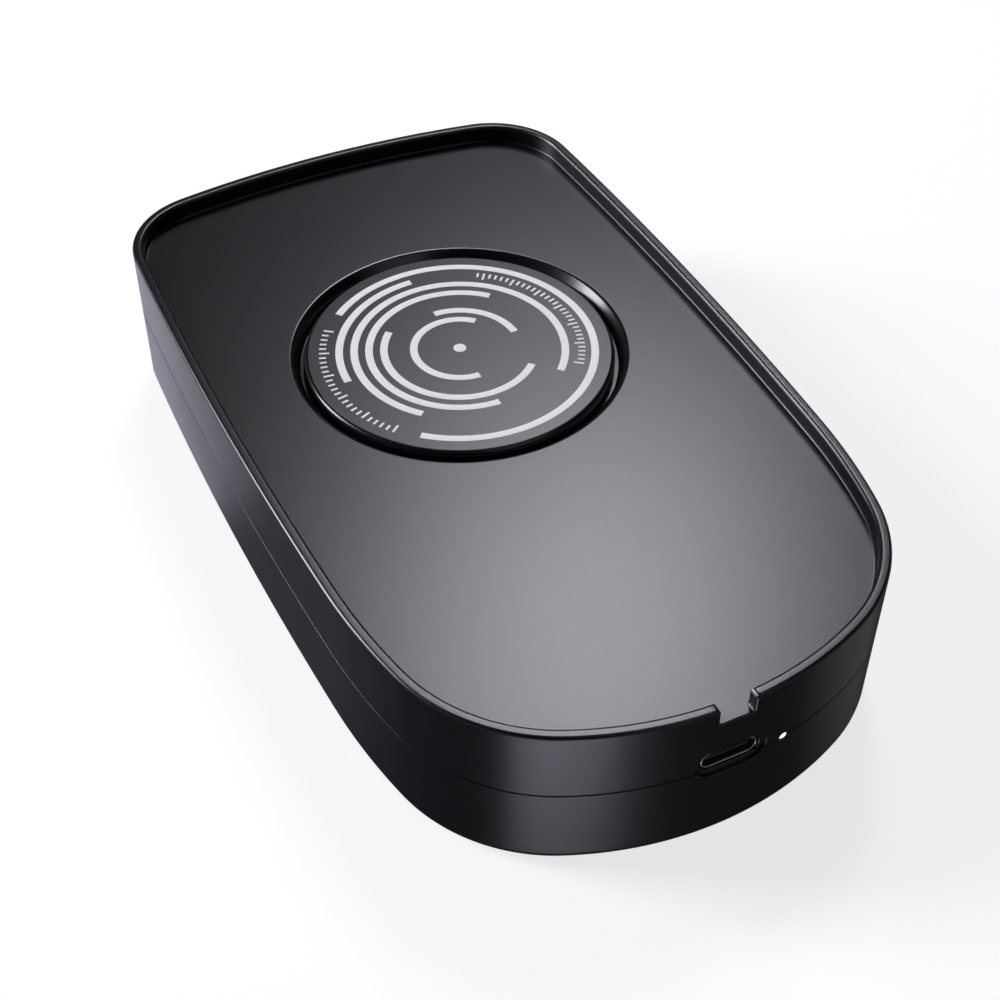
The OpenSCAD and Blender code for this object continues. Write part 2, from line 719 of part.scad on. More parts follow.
// The leads hang in one shallow bow from the motor to the plug
lead_y0 = header_back + plug_out;
lead_sag = 1.6;
lead_steps = 12;
function lead_bow(t) = [lead_y0 + (cover_face - lead_y0) * t,
    lead_z + (cover_lead_z - lead_z) * t - 4 * lead_sag * t * (1 - t)];

module motor_leads() color([0.75, 0.3, 0.2]) {
    upper = [for (i = [0:lead_steps]) lead_bow(i / lead_steps) + [0, lead_d / 2]];
    lower = [for (i = [lead_steps:-1:0]) lead_bow(i / lead_steps) - [0, lead_d / 2]];
    for (i = [0:leads - 1])
        translate([(i - (leads - 1) / 2) * lead_pitch - lead_d / 2, 0, 0])
            rotate([90, 0, 90]) linear_extrude(lead_d) polygon(concat(upper, lower));
}

module lead_plug() color([0.93, 0.93, 0.9])
    translate([-plug_w / 2, header_back - plug_in, lead_z - plug_h / 2])
        cube([plug_w, plug_in + plug_out, plug_h]);

module lead_header() color([0.93, 0.93, 0.9]) difference() {
    translate([-header_w / 2, header_back - header_l, board_top])
        cube([header_w, header_l, header_h]);
    translate([-plug_w / 2 - loose, header_back - plug_in - loose, lead_z - plug_h / 2 - loose])
        cube([plug_w + 2 * loose, plug_in + cut, plug_h + 2 * loose]);
}

// ---------------------------------------------------------------- circuit board

module circuit_board() color([0.1, 0.35, 0.2]) difference() {
    union() {
        translate([-board_w / 2, board_front, board_z]) cube([board_w, board_l, board_t]);
        translate([-nose_w / 2, nose_front, board_z])
            cube([nose_w, board_front - nose_front + 1, board_t]);
    }
    at_points(board_posts, board_z - cut)
        cylinder(r = board_screw_r + loose, h = board_t + 2 * cut);
}

module board_screws() color("silver") at_points(board_posts) difference() {
    union() {
        translate([0, 0, board_top]) cylinder(r = small_head_r, h = small_head_h);
        translate([0, 0, board_z - board_screw_bite])
            cylinder(r = board_screw_r, h = board_screw_bite + board_t + 0.2);
    }
    small_recess(board_top + 0.4 * small_head_h);
}

socket_wall = 0.3;
module usb_socket() color([0.75, 0.75, 0.78]) translate([0, 0, port_h]) difference() {
    slot_prism(socket_w, socket_h, mouth_y, mouth_y + socket_l);
    slot_prism(socket_w - 2 * socket_wall, socket_h - 2 * socket_wall,
        mouth_y - cut, mouth_y + socket_l + cut);
}

tongue_w = 6.7;
tongue_t = 0.7;
tongue_l = 5.3;
block_l = 1.5;                      // the block at the socket's back that carries the tongue
module usb_tongue() color([0.08, 0.08, 0.08]) translate([0, 0, port_h]) {
    slot_prism(socket_w - 2 * socket_wall, socket_h - 2 * socket_wall,
        mouth_y + socket_l - block_l, mouth_y + socket_l);
    translate([-tongue_w / 2, mouth_y + socket_l - block_l - tongue_l, -tongue_t / 2])
        cube([tongue_w, tongue_l + loose, tongue_t]);
}

contact_pitch = 0.5;
contact_w = 0.24;
contact_t = 0.05;
contact_set_back = 0.6;             // behind the tongue's tip
module usb_contacts() color([0.85, 0.7, 0.35]) translate([0, 0, port_h]) {
    tip_y = mouth_y + socket_l - block_l - tongue_l;
    for (i = [0:11], z = [-tongue_t / 2 - contact_t, tongue_t / 2])
        translate([(i - 5.5) * contact_pitch - contact_w / 2, tip_y + contact_set_back, z])
            cube([contact_w, tongue_l - contact_set_back, contact_t]);
}

led_l = 1.6;
led_w = 0.9;
led_h = 0.7;
led_y = board_front + 0.2;
module status_led() color([0.95, 0.95, 0.9])
    translate([light_x - led_l / 2, led_y, board_top]) cube([led_l, led_w, led_h]);

// A clear rod from the wall's face to the lamp, with a collar behind the wall
module light_pipe() color([0.95, 0.95, 0.97]) {
    face = near_wall_y(light_x, 0) + 0.15;
    stop = near_wall_y(light_x + light_r, wall_t) + 0.1;
    translate([light_x, face, seam_h]) rotate([-90, 0, 0])
        cylinder(r = light_r, h = led_y - 0.3 - face);
    translate([light_x, stop, seam_h]) rotate([-90, 0, 0]) cylinder(r = light_r + 0.5, h = 0.8);
}

// A chip with two rows of legs
leg_w = 0.4;
leg_reach = 0.9;
leg_t = 0.3;
chip_h = 1.4;
chip_lift = 0.1;
module chip(x, y, w, l, legs) {
    translate([x - w / 2, y - l / 2, board_top + chip_lift]) cube([w, l, chip_h]);
    for (i = [0:legs - 1], side = [-1, 1])
        translate([x - w / 2 + (i + 0.5) * w / legs - leg_w / 2,
            y + side * (l + leg_reach - loose) / 2 - leg_reach / 2 - loose / 2, board_top])
            cube([leg_w, leg_reach + loose, leg_t]);
}

module controller_chip() color([0.12, 0.12, 0.13])
    chip(-board_w * 2 / 9, board_front + board_l * 0.28, 8, 4, 8);
module driver_chip() color([0.12, 0.12, 0.13])
    chip(board_w * 2 / 9, board_front + board_l * 0.33, 5, 4, 4);

// Small parts between the chips, as shares of the board from its middle and its front
passive = [1.6, 0.8, 0.7];
passives = [[-0.083, 0.26], [-0.028, 0.35], [0.028, 0.26], [0.083, 0.36], [0.35, 0.48],
    [-0.36, 0.5], [-0.056, 0.5], [0.056, 0.5]];
capacitor_d = 4;
capacitor_h = 5;
module board_passives() color([0.6, 0.5, 0.35]) {
    for (p = passives)
        translate([p[0] * board_w - passive[0] / 2, board_front + p[1] * board_l - passive[1] / 2,
            board_top]) cube(passive);
    translate([header_w / 2 + capacitor_d, board_back - 3, board_top])
        cylinder(d = capacitor_d, h = capacitor_h);
}

// ---------------------------------------------------------------- output

lower_shell();
upper_shell();
foot_pads();
case_screws();
turntable_disc();
disc_film();
ring_print();
scale_ticks();
motor_can();
motor_cover_plate();
motor_screws();
output_bush();
output_shaft();
output_gear();
gear_one();
gear_two();
gear_pins();
gear_divider();
rotor_pinion();
rotor_shaft();
rotor_magnet();
rotor_bush();
stator_claws();
coil_bobbin();
coil_winding();
terminal_cover();
motor_leads();
lead_plug();
lead_header();
circuit_board();
board_screws();
usb_socket();
usb_tongue();
usb_contacts();
status_led();
light_pipe();
controller_chip();
driver_chip();
board_passives();
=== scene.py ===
"""Looks of a desk-top mouse mover: a shallow black tray with a slow turntable under its sensor.

Sizes are in millimetres in the part's own frame, and are turned to metres when a mesh is made.
"""

import logging
import math
from collections.abc import Sequence
from dataclasses import dataclass, field
from enum import Enum

import bmesh
import bpy
from mathutils import Matrix, Vector


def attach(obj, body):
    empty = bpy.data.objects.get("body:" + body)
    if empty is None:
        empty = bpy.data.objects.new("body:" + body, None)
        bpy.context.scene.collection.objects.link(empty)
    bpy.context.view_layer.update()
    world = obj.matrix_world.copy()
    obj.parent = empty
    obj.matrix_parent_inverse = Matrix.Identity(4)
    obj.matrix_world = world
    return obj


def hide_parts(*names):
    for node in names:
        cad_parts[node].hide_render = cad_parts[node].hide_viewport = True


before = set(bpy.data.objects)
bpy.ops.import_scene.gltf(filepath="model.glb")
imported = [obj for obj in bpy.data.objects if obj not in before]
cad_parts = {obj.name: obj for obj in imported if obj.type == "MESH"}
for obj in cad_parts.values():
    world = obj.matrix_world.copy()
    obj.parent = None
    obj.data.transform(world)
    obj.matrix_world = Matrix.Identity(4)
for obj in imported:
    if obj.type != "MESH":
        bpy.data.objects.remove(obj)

MM = 0.001
RIGHT_ANGLE = math.pi / 2
TURN = 2 * math.pi

logging.basicConfig(level=logging.INFO, format="%(message)s")
log = logging.getLogger("mouse_mover")

Point = tuple[float, float]
Ring = list[Vector]
Value = float | tuple[float, ...] | bpy.types.NodeSocket

# Share of a spark texture's coarse craters, and how many times smaller the fine ones are
COARSE_SHARE = 0.35
FINE_CRATERS = 3
# How much finer the marks of rolling are along each axis
ROLLING_MARKS = (1.0, 0.05, 0.05)
# Blender's wave texture repeats at this length when its scale is 1
WAVE_LENGTH = 0.314
# How unevenly the dots of a printing screen lie
DOT_JITTER = 0.2
# How many grains wide the blotches of a surface's colour are
MOTTLE_GRAINS = 40
# The least roughness of any surface
SMOOTHEST = 0.02
# The angle between two faces, in degrees, above which the edge between them stays sharp
SHARP_PIECE = 35.0
SHARP_CAD = 30.0


# ---- finishes


def linear(hex_colour: str) -> tuple[float, float, float, float]:
    """Turn an sRGB hex colour to linear light.

    Args:
        hex_colour: Six hex digits after a #.

    Returns:
        Linear red, green and blue, and an alpha of 1.
    """
    levels = [int(hex_colour[i : i + 2], 16) / 255 for i in (1, 3, 5)]
    red, green, blue = (
        level / 12.92 if level <= 0.04045 else ((level + 0.055) / 1.055) ** 2.4 for level in levels
    )
    return red, green, blue, 1.0


def add_node(
    tree: bpy.types.NodeTree, kind: str, inputs: dict[str | int, Value] | None = None, **settings: object
) -> bpy.types.Node:
    """Add one shader node.

    Args:
        tree: The node tree that it goes into.
        kind: Blender's name of the node's type.
        inputs: A value or another node's socket for each input named.
        settings: The node's own settings.

    Returns:
        The new node.
    """
    node = tree.nodes.new(kind)
    for name, setting in settings.items():
        setattr(node, name, setting)
    for name, value in (inputs or {}).items():
        if isinstance(value, bpy.types.NodeSocket):
            tree.links.new(value, node.inputs[name])
        else:
            node.inputs[name].default_value = value
    return node


class Surface(Enum):
    """How a surface was made, which sets the pattern that its finish draws."""

    SPARK_TEXTURED = "spark-textured"
    SCREEN_PRINTED = "screen-printed"
    BRUSHED = "brushed"
    TURNED = "turned"
    WOUND = "wound"
    CAST = "cast"
    POLISHED = "polished"


@dataclass(frozen=True)
class Finish:
    """One material and how its surface was made.

    The grain is the size of the pattern in millimetres, and the depth is how deep it is cut.
    """

    name: str
    colour: str
    roughness: float
    surface: Surface
    grain: float
    depth: float
    mottle: float = 0.12
    spread: float = 0.03
    metallic: float = 0.0
    ior: float = 1.5
    coat: float = 0.0
    sheen: float = 0.0
    glow: float = 0.0

    def material(self) -> bpy.types.Material:
        """Make the material, or find it again.

        Returns:
            The material, the same one each time.
        """
        found = bpy.data.materials.get(self.name)
        if found is not None:
            return found
        made = bpy.data.materials.new(self.name)
        made.use_nodes = True
        tree = made.node_tree
        tree.nodes.clear()
        pattern = self._pattern(tree)
        shader = add_node(
            tree,
            "ShaderNodeBsdfPrincipled",
            {
                "Base Color": self._colour(tree),
                "Roughness": self._roughness(tree, pattern),
                "Normal": add_node(
                    tree,
                    "ShaderNodeBump",
                    {"Strength": 1.0, "Distance": self.depth * MM, "Height": pattern},
                ).outputs["Normal"],
                "Coat Weight": self.coat,
                "Sheen Weight": self.sheen,
                "Emission Color": linear(self.colour),
                "Emission Strength": self.glow,
            },
        )
        shader.inputs["Metallic"].default_value = self.metallic
        if not self.metallic:
            shader.inputs["IOR"].default_value = self.ior
        add_node(tree, "ShaderNodeOutputMaterial", {"Surface": shader.outputs["BSDF"]})
        return made

    def _place(self, tree: bpy.types.NodeTree) -> bpy.types.NodeSocket:
        """Give the place on the piece, in metres, which turns with the piece."""
        return add_node(tree, "ShaderNodeTexCoord").outputs["Object"]

    def _noise(
        self,
        tree: bpy.types.NodeTree,
        size: float,
        detail: float,
        stretch: tuple[float, ...] = (1.0, 1.0, 1.0),
    ) -> bpy.types.NodeSocket:
        """Draw a noise.

        Args:
            tree: The node tree that it goes into.
            size: The size of its blotches, in millimetres.
            detail: How many finer layers it has.
            stretch: How much finer it is along each axis.

        Returns:
            The noise, about 0.5 in the middle.
        """
        place = add_node(
            tree, "ShaderNodeVectorMath", {0: self._place(tree), 1: stretch}, operation="MULTIPLY"
        )
        return add_node(
            tree,
            "ShaderNodeTexNoise",
            {"Vector": place.outputs["Vector"], "Scale": 1 / (size * MM), "Detail": detail},
        ).outputs["Fac"]

    def _pattern(self, tree: bpy.types.NodeTree) -> bpy.types.NodeSocket:
        """Draw the height of the surface's pattern.

        Args:
            tree: The node tree that it goes into.

        Returns:
            The height, from 0 to 1.
        """
        if self.surface is Surface.SPARK_TEXTURED:
            # Craters of two sizes, as the spark leaves in the mould
            coarse = self._noise(tree, self.grain, 2.0)
            fine = self._noise(tree, self.grain / FINE_CRATERS, 1.0)
            both = {0: coarse, 1: COARSE_SHARE, 2: fine}
            return add_node(tree, "ShaderNodeMath", both, operation="MULTIPLY_ADD").outputs["Value"]
        if self.surface is Surface.BRUSHED:
            return self._noise(tree, self.grain, 2.0, ROLLING_MARKS)
        if self.surface in (Surface.TURNED, Surface.WOUND):
            profile = "SIN" if self.surface is Surface.WOUND else "SAW"
            return add_node(
                tree,
                "ShaderNodeTexWave",
                {"Vector": self._place(tree), "Scale": WAVE_LENGTH / (self.grain * MM)},
                bands_direction="Z",
                wave_profile=profile,
            ).outputs["Fac"]
        if self.surface is Surface.SCREEN_PRINTED:
            # The mesh of the screen stays in the ink as a fine grid of dots
            return add_node(
                tree,
                "ShaderNodeTexVoronoi",
                {"Vector": self._place(tree), "Scale": 1 / (self.grain * MM), "Randomness": DOT_JITTER},
            ).outputs["Distance"]
        return self._noise(tree, self.grain, 3.0)

    def _colour(self, tree: bpy.types.NodeTree) -> bpy.types.NodeSocket:
        """Vary the colour a little over a few millimetres, as moulded and plated surfaces do.

        Args:
            tree: The node tree that it goes into.

        Returns:
            The colour.
        """
        red, green, blue, alpha = linear(self.colour)
        low, high = 1 - self.mottle, 1 + self.mottle
        return add_node(
            tree,
            "ShaderNodeMix",
            {
                "Factor": self._noise(tree, MOTTLE_GRAINS * self.grain, 3.0),
                6: (red * low, green * low, blue * low, alpha),
                7: (red * high, green * high, blue * high, alpha),
            },
            data_type="RGBA",
        ).outputs[2]

    def _roughness(self, tree: bpy.types.NodeTree, pattern: bpy.types.NodeSocket) -> bpy.types.NodeSocket:
        """Make the roughness follow the pattern, within the finish's spread.

        Args:
            tree: The node tree that it goes into.
            pattern: The height of the surface's pattern.

        Returns:
            The roughness.
        """
        return add_node(
            tree,
            "ShaderNodeMapRange",
            {
                "Value": pattern,
                "To Min": max(self.roughness - self.spread, SMOOTHEST),
                "To Max": min(self.roughness + self.spread, 1.0),
            },
        ).outputs["Result"]


# ABS moulded in a spark-textured mould: satin black that spreads a reflection softly. The real
# craters are 0.03 mm across; drawn at 0.16 mm they just show as a fine tooth on the tray.
SHELL_ABS = Finish("abs_black_spark_textured", "#0F0E12", 0.275, Surface.SPARK_TEXTURED, 0.16, 0.006)
# Round the well the mould is left smooth, so the well's sloping wall carries one sharp bright band.
WELL_ABS = Finish("abs_black_smooth_moulded", "#0C0C0F", 0.22, Surface.SPARK_TEXTURED, 0.1, 0.001)
# The lower shell's copy of the same ABS is a shade duller, and a shade darker in colour as painted shade, for
# lower walls that reflect less light than the upper ones.
BASE_ABS_PAINTED_SHADE = Finish("abs_black_spark_textured_base_painted_shade", "#0E0D11", 0.285, Surface.SPARK_TEXTURED, 0.16, 0.004)
# The disc is moulded with a finer texture, so its edge carries sharper highlights.
DISC_ABS = Finish("abs_black_fine_texture", "#0C0C0E", 0.23, Surface.SPARK_TEXTURED, 0.1, 0.002)
# Matt polyester film, grey from behind its lacquer, which takes the tray's sheen more evenly.
GREY_FILM = Finish("polyester_film_matt_lacquered", "#1B1A1F", 0.3, Surface.SPARK_TEXTURED, 0.1, 0.002)
# Two-part white ink laid on through a screen: a flat cool white with the mesh just visible.
WHITE_INK = Finish("ink_white_screen_printed", "#F2F4ED", 0.5, Surface.SCREEN_PRINTED, 0.14, 0.004, 0.05)
# Die-cut rubber: dead matt, with a little bloom along its grain.
FOOT_RUBBER = Finish("rubber_die_cut", "#141414", 0.8, Surface.CAST, 0.2, 0.01, mottle=0.2, sheen=0.2)
# Zinc over steel: bright grey with a faint turned lay on the heads.
ZINC_STEEL = Finish("steel_zinc_plated", "#B9BBBF", 0.3, Surface.TURNED, 0.15, 0.003, metallic=1.0)
# Cold-rolled and tinned sheet: satin, with long rolling marks.
TINNED_STEEL = Finish("steel_tinned_rolled", "#C4C5C6", 0.34, Surface.BRUSHED, 0.25, 0.004, metallic=1.0)
# Free-cutting brass, turned: yellow with fine tool marks round it.
TURNED_BRASS = Finish("brass_turned", "#D1AE68", 0.28, Surface.TURNED, 0.12, 0.004, metallic=1.0)
# Sintered bronze: porous and darker than turned brass.
SINTERED_BRONZE = Finish("bronze_sintered", "#9A7148", 0.45, Surface.CAST, 0.12, 0.01, metallic=1.0)
# Natural acetal, moulded: milky ivory with a waxy gloss.
ACETAL = Finish("acetal_natural_moulded", "#E3DFD0", 0.32, Surface.CAST, 0.5, 0.003, mottle=0.04)
# Sintered ferrite: charcoal, ground on its outside.
FERRITE = Finish("ferrite_ground", "#3A3B3D", 0.5, Surface.BRUSHED, 0.3, 0.005)
# Nylon, moulded: cream, duller than acetal.
NYLON = Finish("nylon_cream_moulded", "#D8D1BA", 0.48, Surface.CAST, 0.4, 0.004, mottle=0.05)
# Nylon, dyed and moulded: a mid blue, a little glossier than the cream.
BLUE_NYLON = Finish("nylon_blue_moulded", "#2C5590", 0.42, Surface.CAST, 0.4, 0.004, mottle=0.06)
# Enamelled copper wire in neat layers: the turns are 0.12 mm apart.
WINDING = Finish(
    "copper_enamelled_wound", "#B0633A", 0.3, Surface.WOUND, 0.12, 0.05, metallic=0.8, coat=0.4
)
# Extruded PVC insulation: smooth, slightly waxy red.
LEAD_PVC = Finish("pvc_red_extruded", "#A32A1E", 0.4, Surface.CAST, 0.6, 0.003, mottle=0.05)
# Solder mask over glass epoxy: glossy green with the weave of the glass below it.
SOLDER_MASK = Finish(
    "glass_epoxy_green_mask", "#12523A", 0.28, Surface.SCREEN_PRINTED, 0.5, 0.004, coat=0.3
)
# Nickel over drawn steel: grey in the shade of the slot, with a bright line round the mouth.
NICKEL_STEEL = Finish("steel_nickel_plated_drawn", "#B4B2AF", 0.3, Surface.BRUSHED, 0.2, 0.002, metallic=1.0)
# Gold flash over copper: a warm yellow glint along each contact.
GOLD = Finish("contact_gold_plated", "#E0BE72", 0.22, Surface.BRUSHED, 0.1, 0.001, metallic=1.0)
# Liquid crystal polymer of the socket's tongue: black, slightly streaky.
BLACK_LCP = Finish("polymer_black_moulded", "#101010", 0.45, Surface.BRUSHED, 0.3, 0.003)
# Lit end of the status lamp: milky epoxy that glows a cool white.
LAMP = Finish("lamp_epoxy_lit", "#F6F7FF", 0.3, Surface.CAST, 0.3, 0.002, mottle=0.03, glow=1.0)
# Polycarbonate rod, lit from behind: reads as a plain white dot with a glossy face.
LIT_ROD = Finish(
    "polycarbonate_clear_lit", "#F4F5FA", 0.12, Surface.POLISHED, 0.6, 0.002, mottle=0.03, ior=1.58, glow=0.9
)
# Moulded epoxy of the chips: charcoal and matt.
CHIP_EPOXY = Finish("epoxy_black_moulded", "#1C1C1E", 0.55, Surface.CAST, 0.15, 0.006)
# Chip capacitors and resistors: tan ceramic.
PASSIVE_CERAMIC = Finish("ceramic_tan_fired", "#A98D63", 0.45, Surface.CAST, 0.2, 0.004)

# The pieces that keep their CAD meshes, by what they are made of
CAD_FINISHES: dict[Finish, tuple[str, ...]] = {
    FOOT_RUBBER: ("foot_pads",),
    ZINC_STEEL: ("case_screws", "motor_screws", "gear_pins", "rotor_shaft", "board_screws"),
    TINNED_STEEL: ("motor_can", "motor_cover_plate", "gear_divider", "stator_claws"),
    TURNED_BRASS: ("output_bush", "output_shaft", "rotor_pinion"),
    ACETAL: ("output_gear", "gear_one", "gear_two"),
    FERRITE: ("rotor_magnet",),
    SINTERED_BRONZE: ("rotor_bush",),
    NYLON: ("coil_bobbin", "lead_plug", "lead_header"),
    WINDING: ("coil_winding",),
    BLUE_NYLON: ("terminal_cover",),
    LEAD_PVC: ("motor_leads",),
    SOLDER_MASK: ("circuit_board",),
    BLACK_LCP: ("usb_tongue",),
    GOLD: ("usb_contacts",),
    LAMP: ("status_led",),
    CHIP_EPOXY: ("controller_chip", "driver_chip"),
    PASSIVE_CERAMIC: ("board_passives",),
}


# ---- meshes


def arc(centre: Point, radius: float, start: float, end: float, steps: int) -> list[Point]:
    """Give points along an arc.

    Args:
        centre: The arc's centre.
        radius: Its radius.
        start: Its first angle, in degrees.
        end: Its last angle, in degrees.
        steps: How many parts it is split into.

    Returns:
        One more point than there are steps.
    """
    angles = [math.radians(start + (end - start) * i / steps) for i in range(steps + 1)]
    return [(centre[0] + radius * math.cos(a), centre[1] + radius * math.sin(a)) for a in angles]


def loft(rings: Sequence[Ring], close_start: bool = True, close_end: bool = True) -> bmesh.types.BMesh:
    """Join closed rings of equally many points with faces.

    Args:
        rings: The rings in order, in millimetres.
        close_start: Whether the first ring is filled.
        close_end: Whether the last ring is filled.

    Returns:
        A mesh in metres, with its faces turned outwards.
    """
    mesh = bmesh.new()
    rows = [[mesh.verts.new(point * MM) for point in ring] for ring in rings]
    for low, high in zip(rows, rows[1:]):
        for i in range(len(low)):
            j = (i + 1) % len(low)
            mesh.faces.new((low[i], low[j], high[j], high[i]))
    if close_start:
        mesh.faces.new(rows[0])
    if close_end:
        mesh.faces.new(rows[-1])
    bmesh.ops.recalc_face_normals(mesh, faces=mesh.faces)
    return mesh


def turned(profile: Sequence[Point], at: Point = (0.0, 0.0), steps: int = 180) -> bmesh.types.BMesh:
    """Turn a profile about a vertical axis.

    Args:
        profile: Points of radius and height. Its ends are closed by flat faces.
        at: Where the axis stands.
        steps: How many parts the turn is split into.

    Returns:
        A mesh in metres.
    """
    angles = [TURN * i / steps for i in range(steps)]
    return loft(
        [[Vector((at[0] + r * math.cos(a), at[1] + r * math.sin(a), z)) for a in angles] for r, z in profile]
    )


def add_piece(name: str, mesh: bmesh.types.BMesh) -> bpy.types.Object:
    """Put a mesh into the scene as a piece of its own.

    Args:
        name: The piece's name.
        mesh: Its mesh in metres, which is used up.

    Returns:
        The piece.
    """
    data = bpy.data.meshes.new(name)
    mesh.to_mesh(data)
    mesh.free()
    piece = bpy.data.objects.new(name, data)
    bpy.context.scene.collection.objects.link(piece)
    return piece


def merge(whole: bmesh.types.BMesh, part: bmesh.types.BMesh) -> None:
    """Add one mesh to another.

    Args:
        whole: The mesh that grows.
        part: The mesh that is added, which is used up.
    """
    data = bpy.data.meshes.new("part")
    part.to_mesh(data)
    part.free()
    whole.from_mesh(data)
    bpy.data.meshes.remove(data)


class Cut(Enum):
    """What a tool does to the piece that it is used on."""

    AWAY = "DIFFERENCE"
    ON = "UNION"


def shape(piece: bpy.types.Object, tool_mesh: bmesh.types.BMesh, cut: Cut) -> None:
    """Cut a tool's shape away from a piece, or add it on.

    Args:
        piece: The piece that changes.
        tool_mesh: The shape, which is used up.
        cut: What is done with it.
    """
    tool = add_piece("tool", tool_mesh)
    step = piece.modifiers.new("shape", "BOOLEAN")
    step.object = tool
    step.operation = cut.value
    step.solver = "EXACT"
    graph = bpy.context.evaluated_depsgraph_get()
    shaped = bpy.data.meshes.new_from_object(piece.evaluated_get(graph))
    piece.modifiers.remove(step)
    old = piece.data
    piece.data = shaped
    bpy.data.meshes.remove(old)
    bpy.data.objects.remove(tool)


def finish_piece(piece: bpy.types.Object, finish: Finish, body: str, replaced: str) -> None:
    """Smooth a piece, dress it and tie it to the frame.

    Args:
        piece: The piece.
        finish: What it is made of.
        body: The body that it moves with.
        replaced: The CAD node that it stands for.
    """
    piece.data.shade_smooth()
    piece.data.set_sharp_from_angle(angle=math.radians(SHARP_PIECE))
    weighting = piece.modifiers.new("flat faces stay flat", "WEIGHTED_NORMAL")
    weighting.keep_sharp = True
    piece.data.materials.clear()
    piece.data.materials.append(finish.material())
    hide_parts(replaced)
    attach(piece, body)
    log.info("%s: %d faces", piece.name, len(piece.data.polygons))


# ---- plan outline


@dataclass(frozen=True)
class Bend:
    """One arc of the plan outline."""

    centre: Vector
    radius: float
    start: float
    end: float

    def steps(self, chord: float, turn: float) -> int:
        """Give the number of parts for a longest chord in millimetres and a largest turn in degrees."""
        angle = abs(self.end - self.start)
        return max(1, math.ceil(self.radius * math.radians(angle) / chord), math.ceil(angle / turn))


def crossing(first: Vector, r1: float, second: Vector, r2: float, end: int) -> Vector:
    """Find where two circles cross.

    Args:
        first: Centre of one circle.
        r1: Its radius.
        second: Centre of the other.
        r2: Its radius.
        end: 1 for the crossing further up the Y axis, -1 for the other.

    Returns:
        The crossing.
    """
    across = second - first
    far = across.length
    along = (r1 * r1 - r2 * r2 + far * far) / (2 * far)
    aside = math.sqrt(r1 * r1 - along * along)
    normal = Vector((-across.y, across.x)) / far
    if normal.y * end < 0:
        normal.negate()
    return first + across * (along / far) + normal * aside


def bearing(start: Vector, end: Vector) -> float:
    """Give the direction from one point to another, in degrees."""
    return math.degrees(math.atan2(end.y - start.y, end.x - start.x))


@dataclass(frozen=True)
class PlanOutline:
    """The body's outline from above: a chain of arcs that meet in line with each other."""

    width: float = 85.0
    length: float = 145.0
    far_end_r: float = 174.0
    far_corner_r: float = 15.4
    side_r: float = 830.0
    side_mid_y: float = 14.3
    blend_r: float = 105.0
    blend_angle: float = 3.07
    near_corner_r: float = 28.0
    near_end_r: float = 56.0
    chord: float = 1.4
    turn: float = 2.0

    def near_centre(self) -> Vector:
        """Give the centre of the near end's arc."""
        return Vector((0.0, self.near_end_r - self.length / 2))

    def bends(self) -> list[Bend]:
        """Lay the arcs of the right half, each of which starts in line with the last.

        Returns:
            The arcs, from the middle of the near end to that of the far end.
        """
        far = Vector((0.0, self.length / 2 - self.far_end_r))
        near = self.near_centre()
        side = Vector((self.width / 2 - self.side_r, self.side_mid_y))
        slope = math.radians(-self.blend_angle)
        blend = side + (self.side_r - self.blend_r) * Vector((math.cos(slope), math.sin(slope)))
        corner_r = self.far_corner_r
        far_corner = crossing(far, self.far_end_r - corner_r, side, self.side_r - corner_r, 1)
        corner_r = self.near_corner_r
        near_corner = crossing(near, self.near_end_r - corner_r, blend, self.blend_r - corner_r, -1)
        near_angle = bearing(near, near_corner)
        blend_angle = bearing(blend, near_corner)
        side_angle = bearing(side, far_corner)
        far_angle = bearing(far, far_corner)
        return [
            Bend(near, self.near_end_r, -90.0, near_angle),
            Bend(near_corner, self.near_corner_r, near_angle, blend_angle),
            Bend(blend, self.blend_r, blend_angle, -self.blend_angle),
            Bend(side, self.side_r, -self.blend_angle, side_angle),
            Bend(far_corner, self.far_corner_r, side_angle, far_angle),
            Bend(far, self.far_end_r, far_angle, 90.0),
        ]

    def points(self, inset: float) -> list[Point]:
        """Give the outline, moved inwards by a distance.

        Args:
            inset: How far it is moved, in millimetres.

        Returns:
            The points, anticlockwise from the middle of the near end. Each inset has equally many.
        """
        right: list[Point] = []
        for bend in self.bends():
            steps = bend.steps(self.chord, self.turn)
            around = arc((bend.centre.x, bend.centre.y), bend.radius - inset, bend.start, bend.end, steps)
            right.extend(around[:-1])
        tip = (0.0, self.length / 2 - inset)
        left = [(-x, y) for x, y in reversed(right[1:])]
        return right + [tip] + left

    def ring(self, inset: float, z: float) -> Ring:
        """Give the outline as a ring at a height."""
        return [Vector((x, y, z)) for x, y in self.points(inset)]

    def near_wall(self, x: float, inset: float) -> float:
        """Give the near end wall's Y, a distance behind its face, at a distance from the middle."""
        return self.near_centre().y - math.sqrt((self.near_end_r - inset) ** 2 - x * x)

    def near_ring(self, contour: Sequence[Point], inset: float) -> Ring:
        """Lay a contour of across and up points on the near end's wall, a distance behind its face."""
        return [Vector((x, self.near_wall(x, inset), z)) for x, z in contour]


# ---- housing


def rolled(radius: float, steps: int = 6) -> list[Point]:
    """Give the profile of a rounded edge that a tool cuts.

    Args:
        radius: The edge's radius.
        steps: How many parts it is split into.

    Returns:
        Pairs of how far the tool widens and how deep that is, from the face inwards.
    """
    angles = [RIGHT_ANGLE * i / steps for i in range(steps + 1)]
    return [(radius * (1 - math.sin(a)), radius * (1 - math.cos(a))) for a in angles]


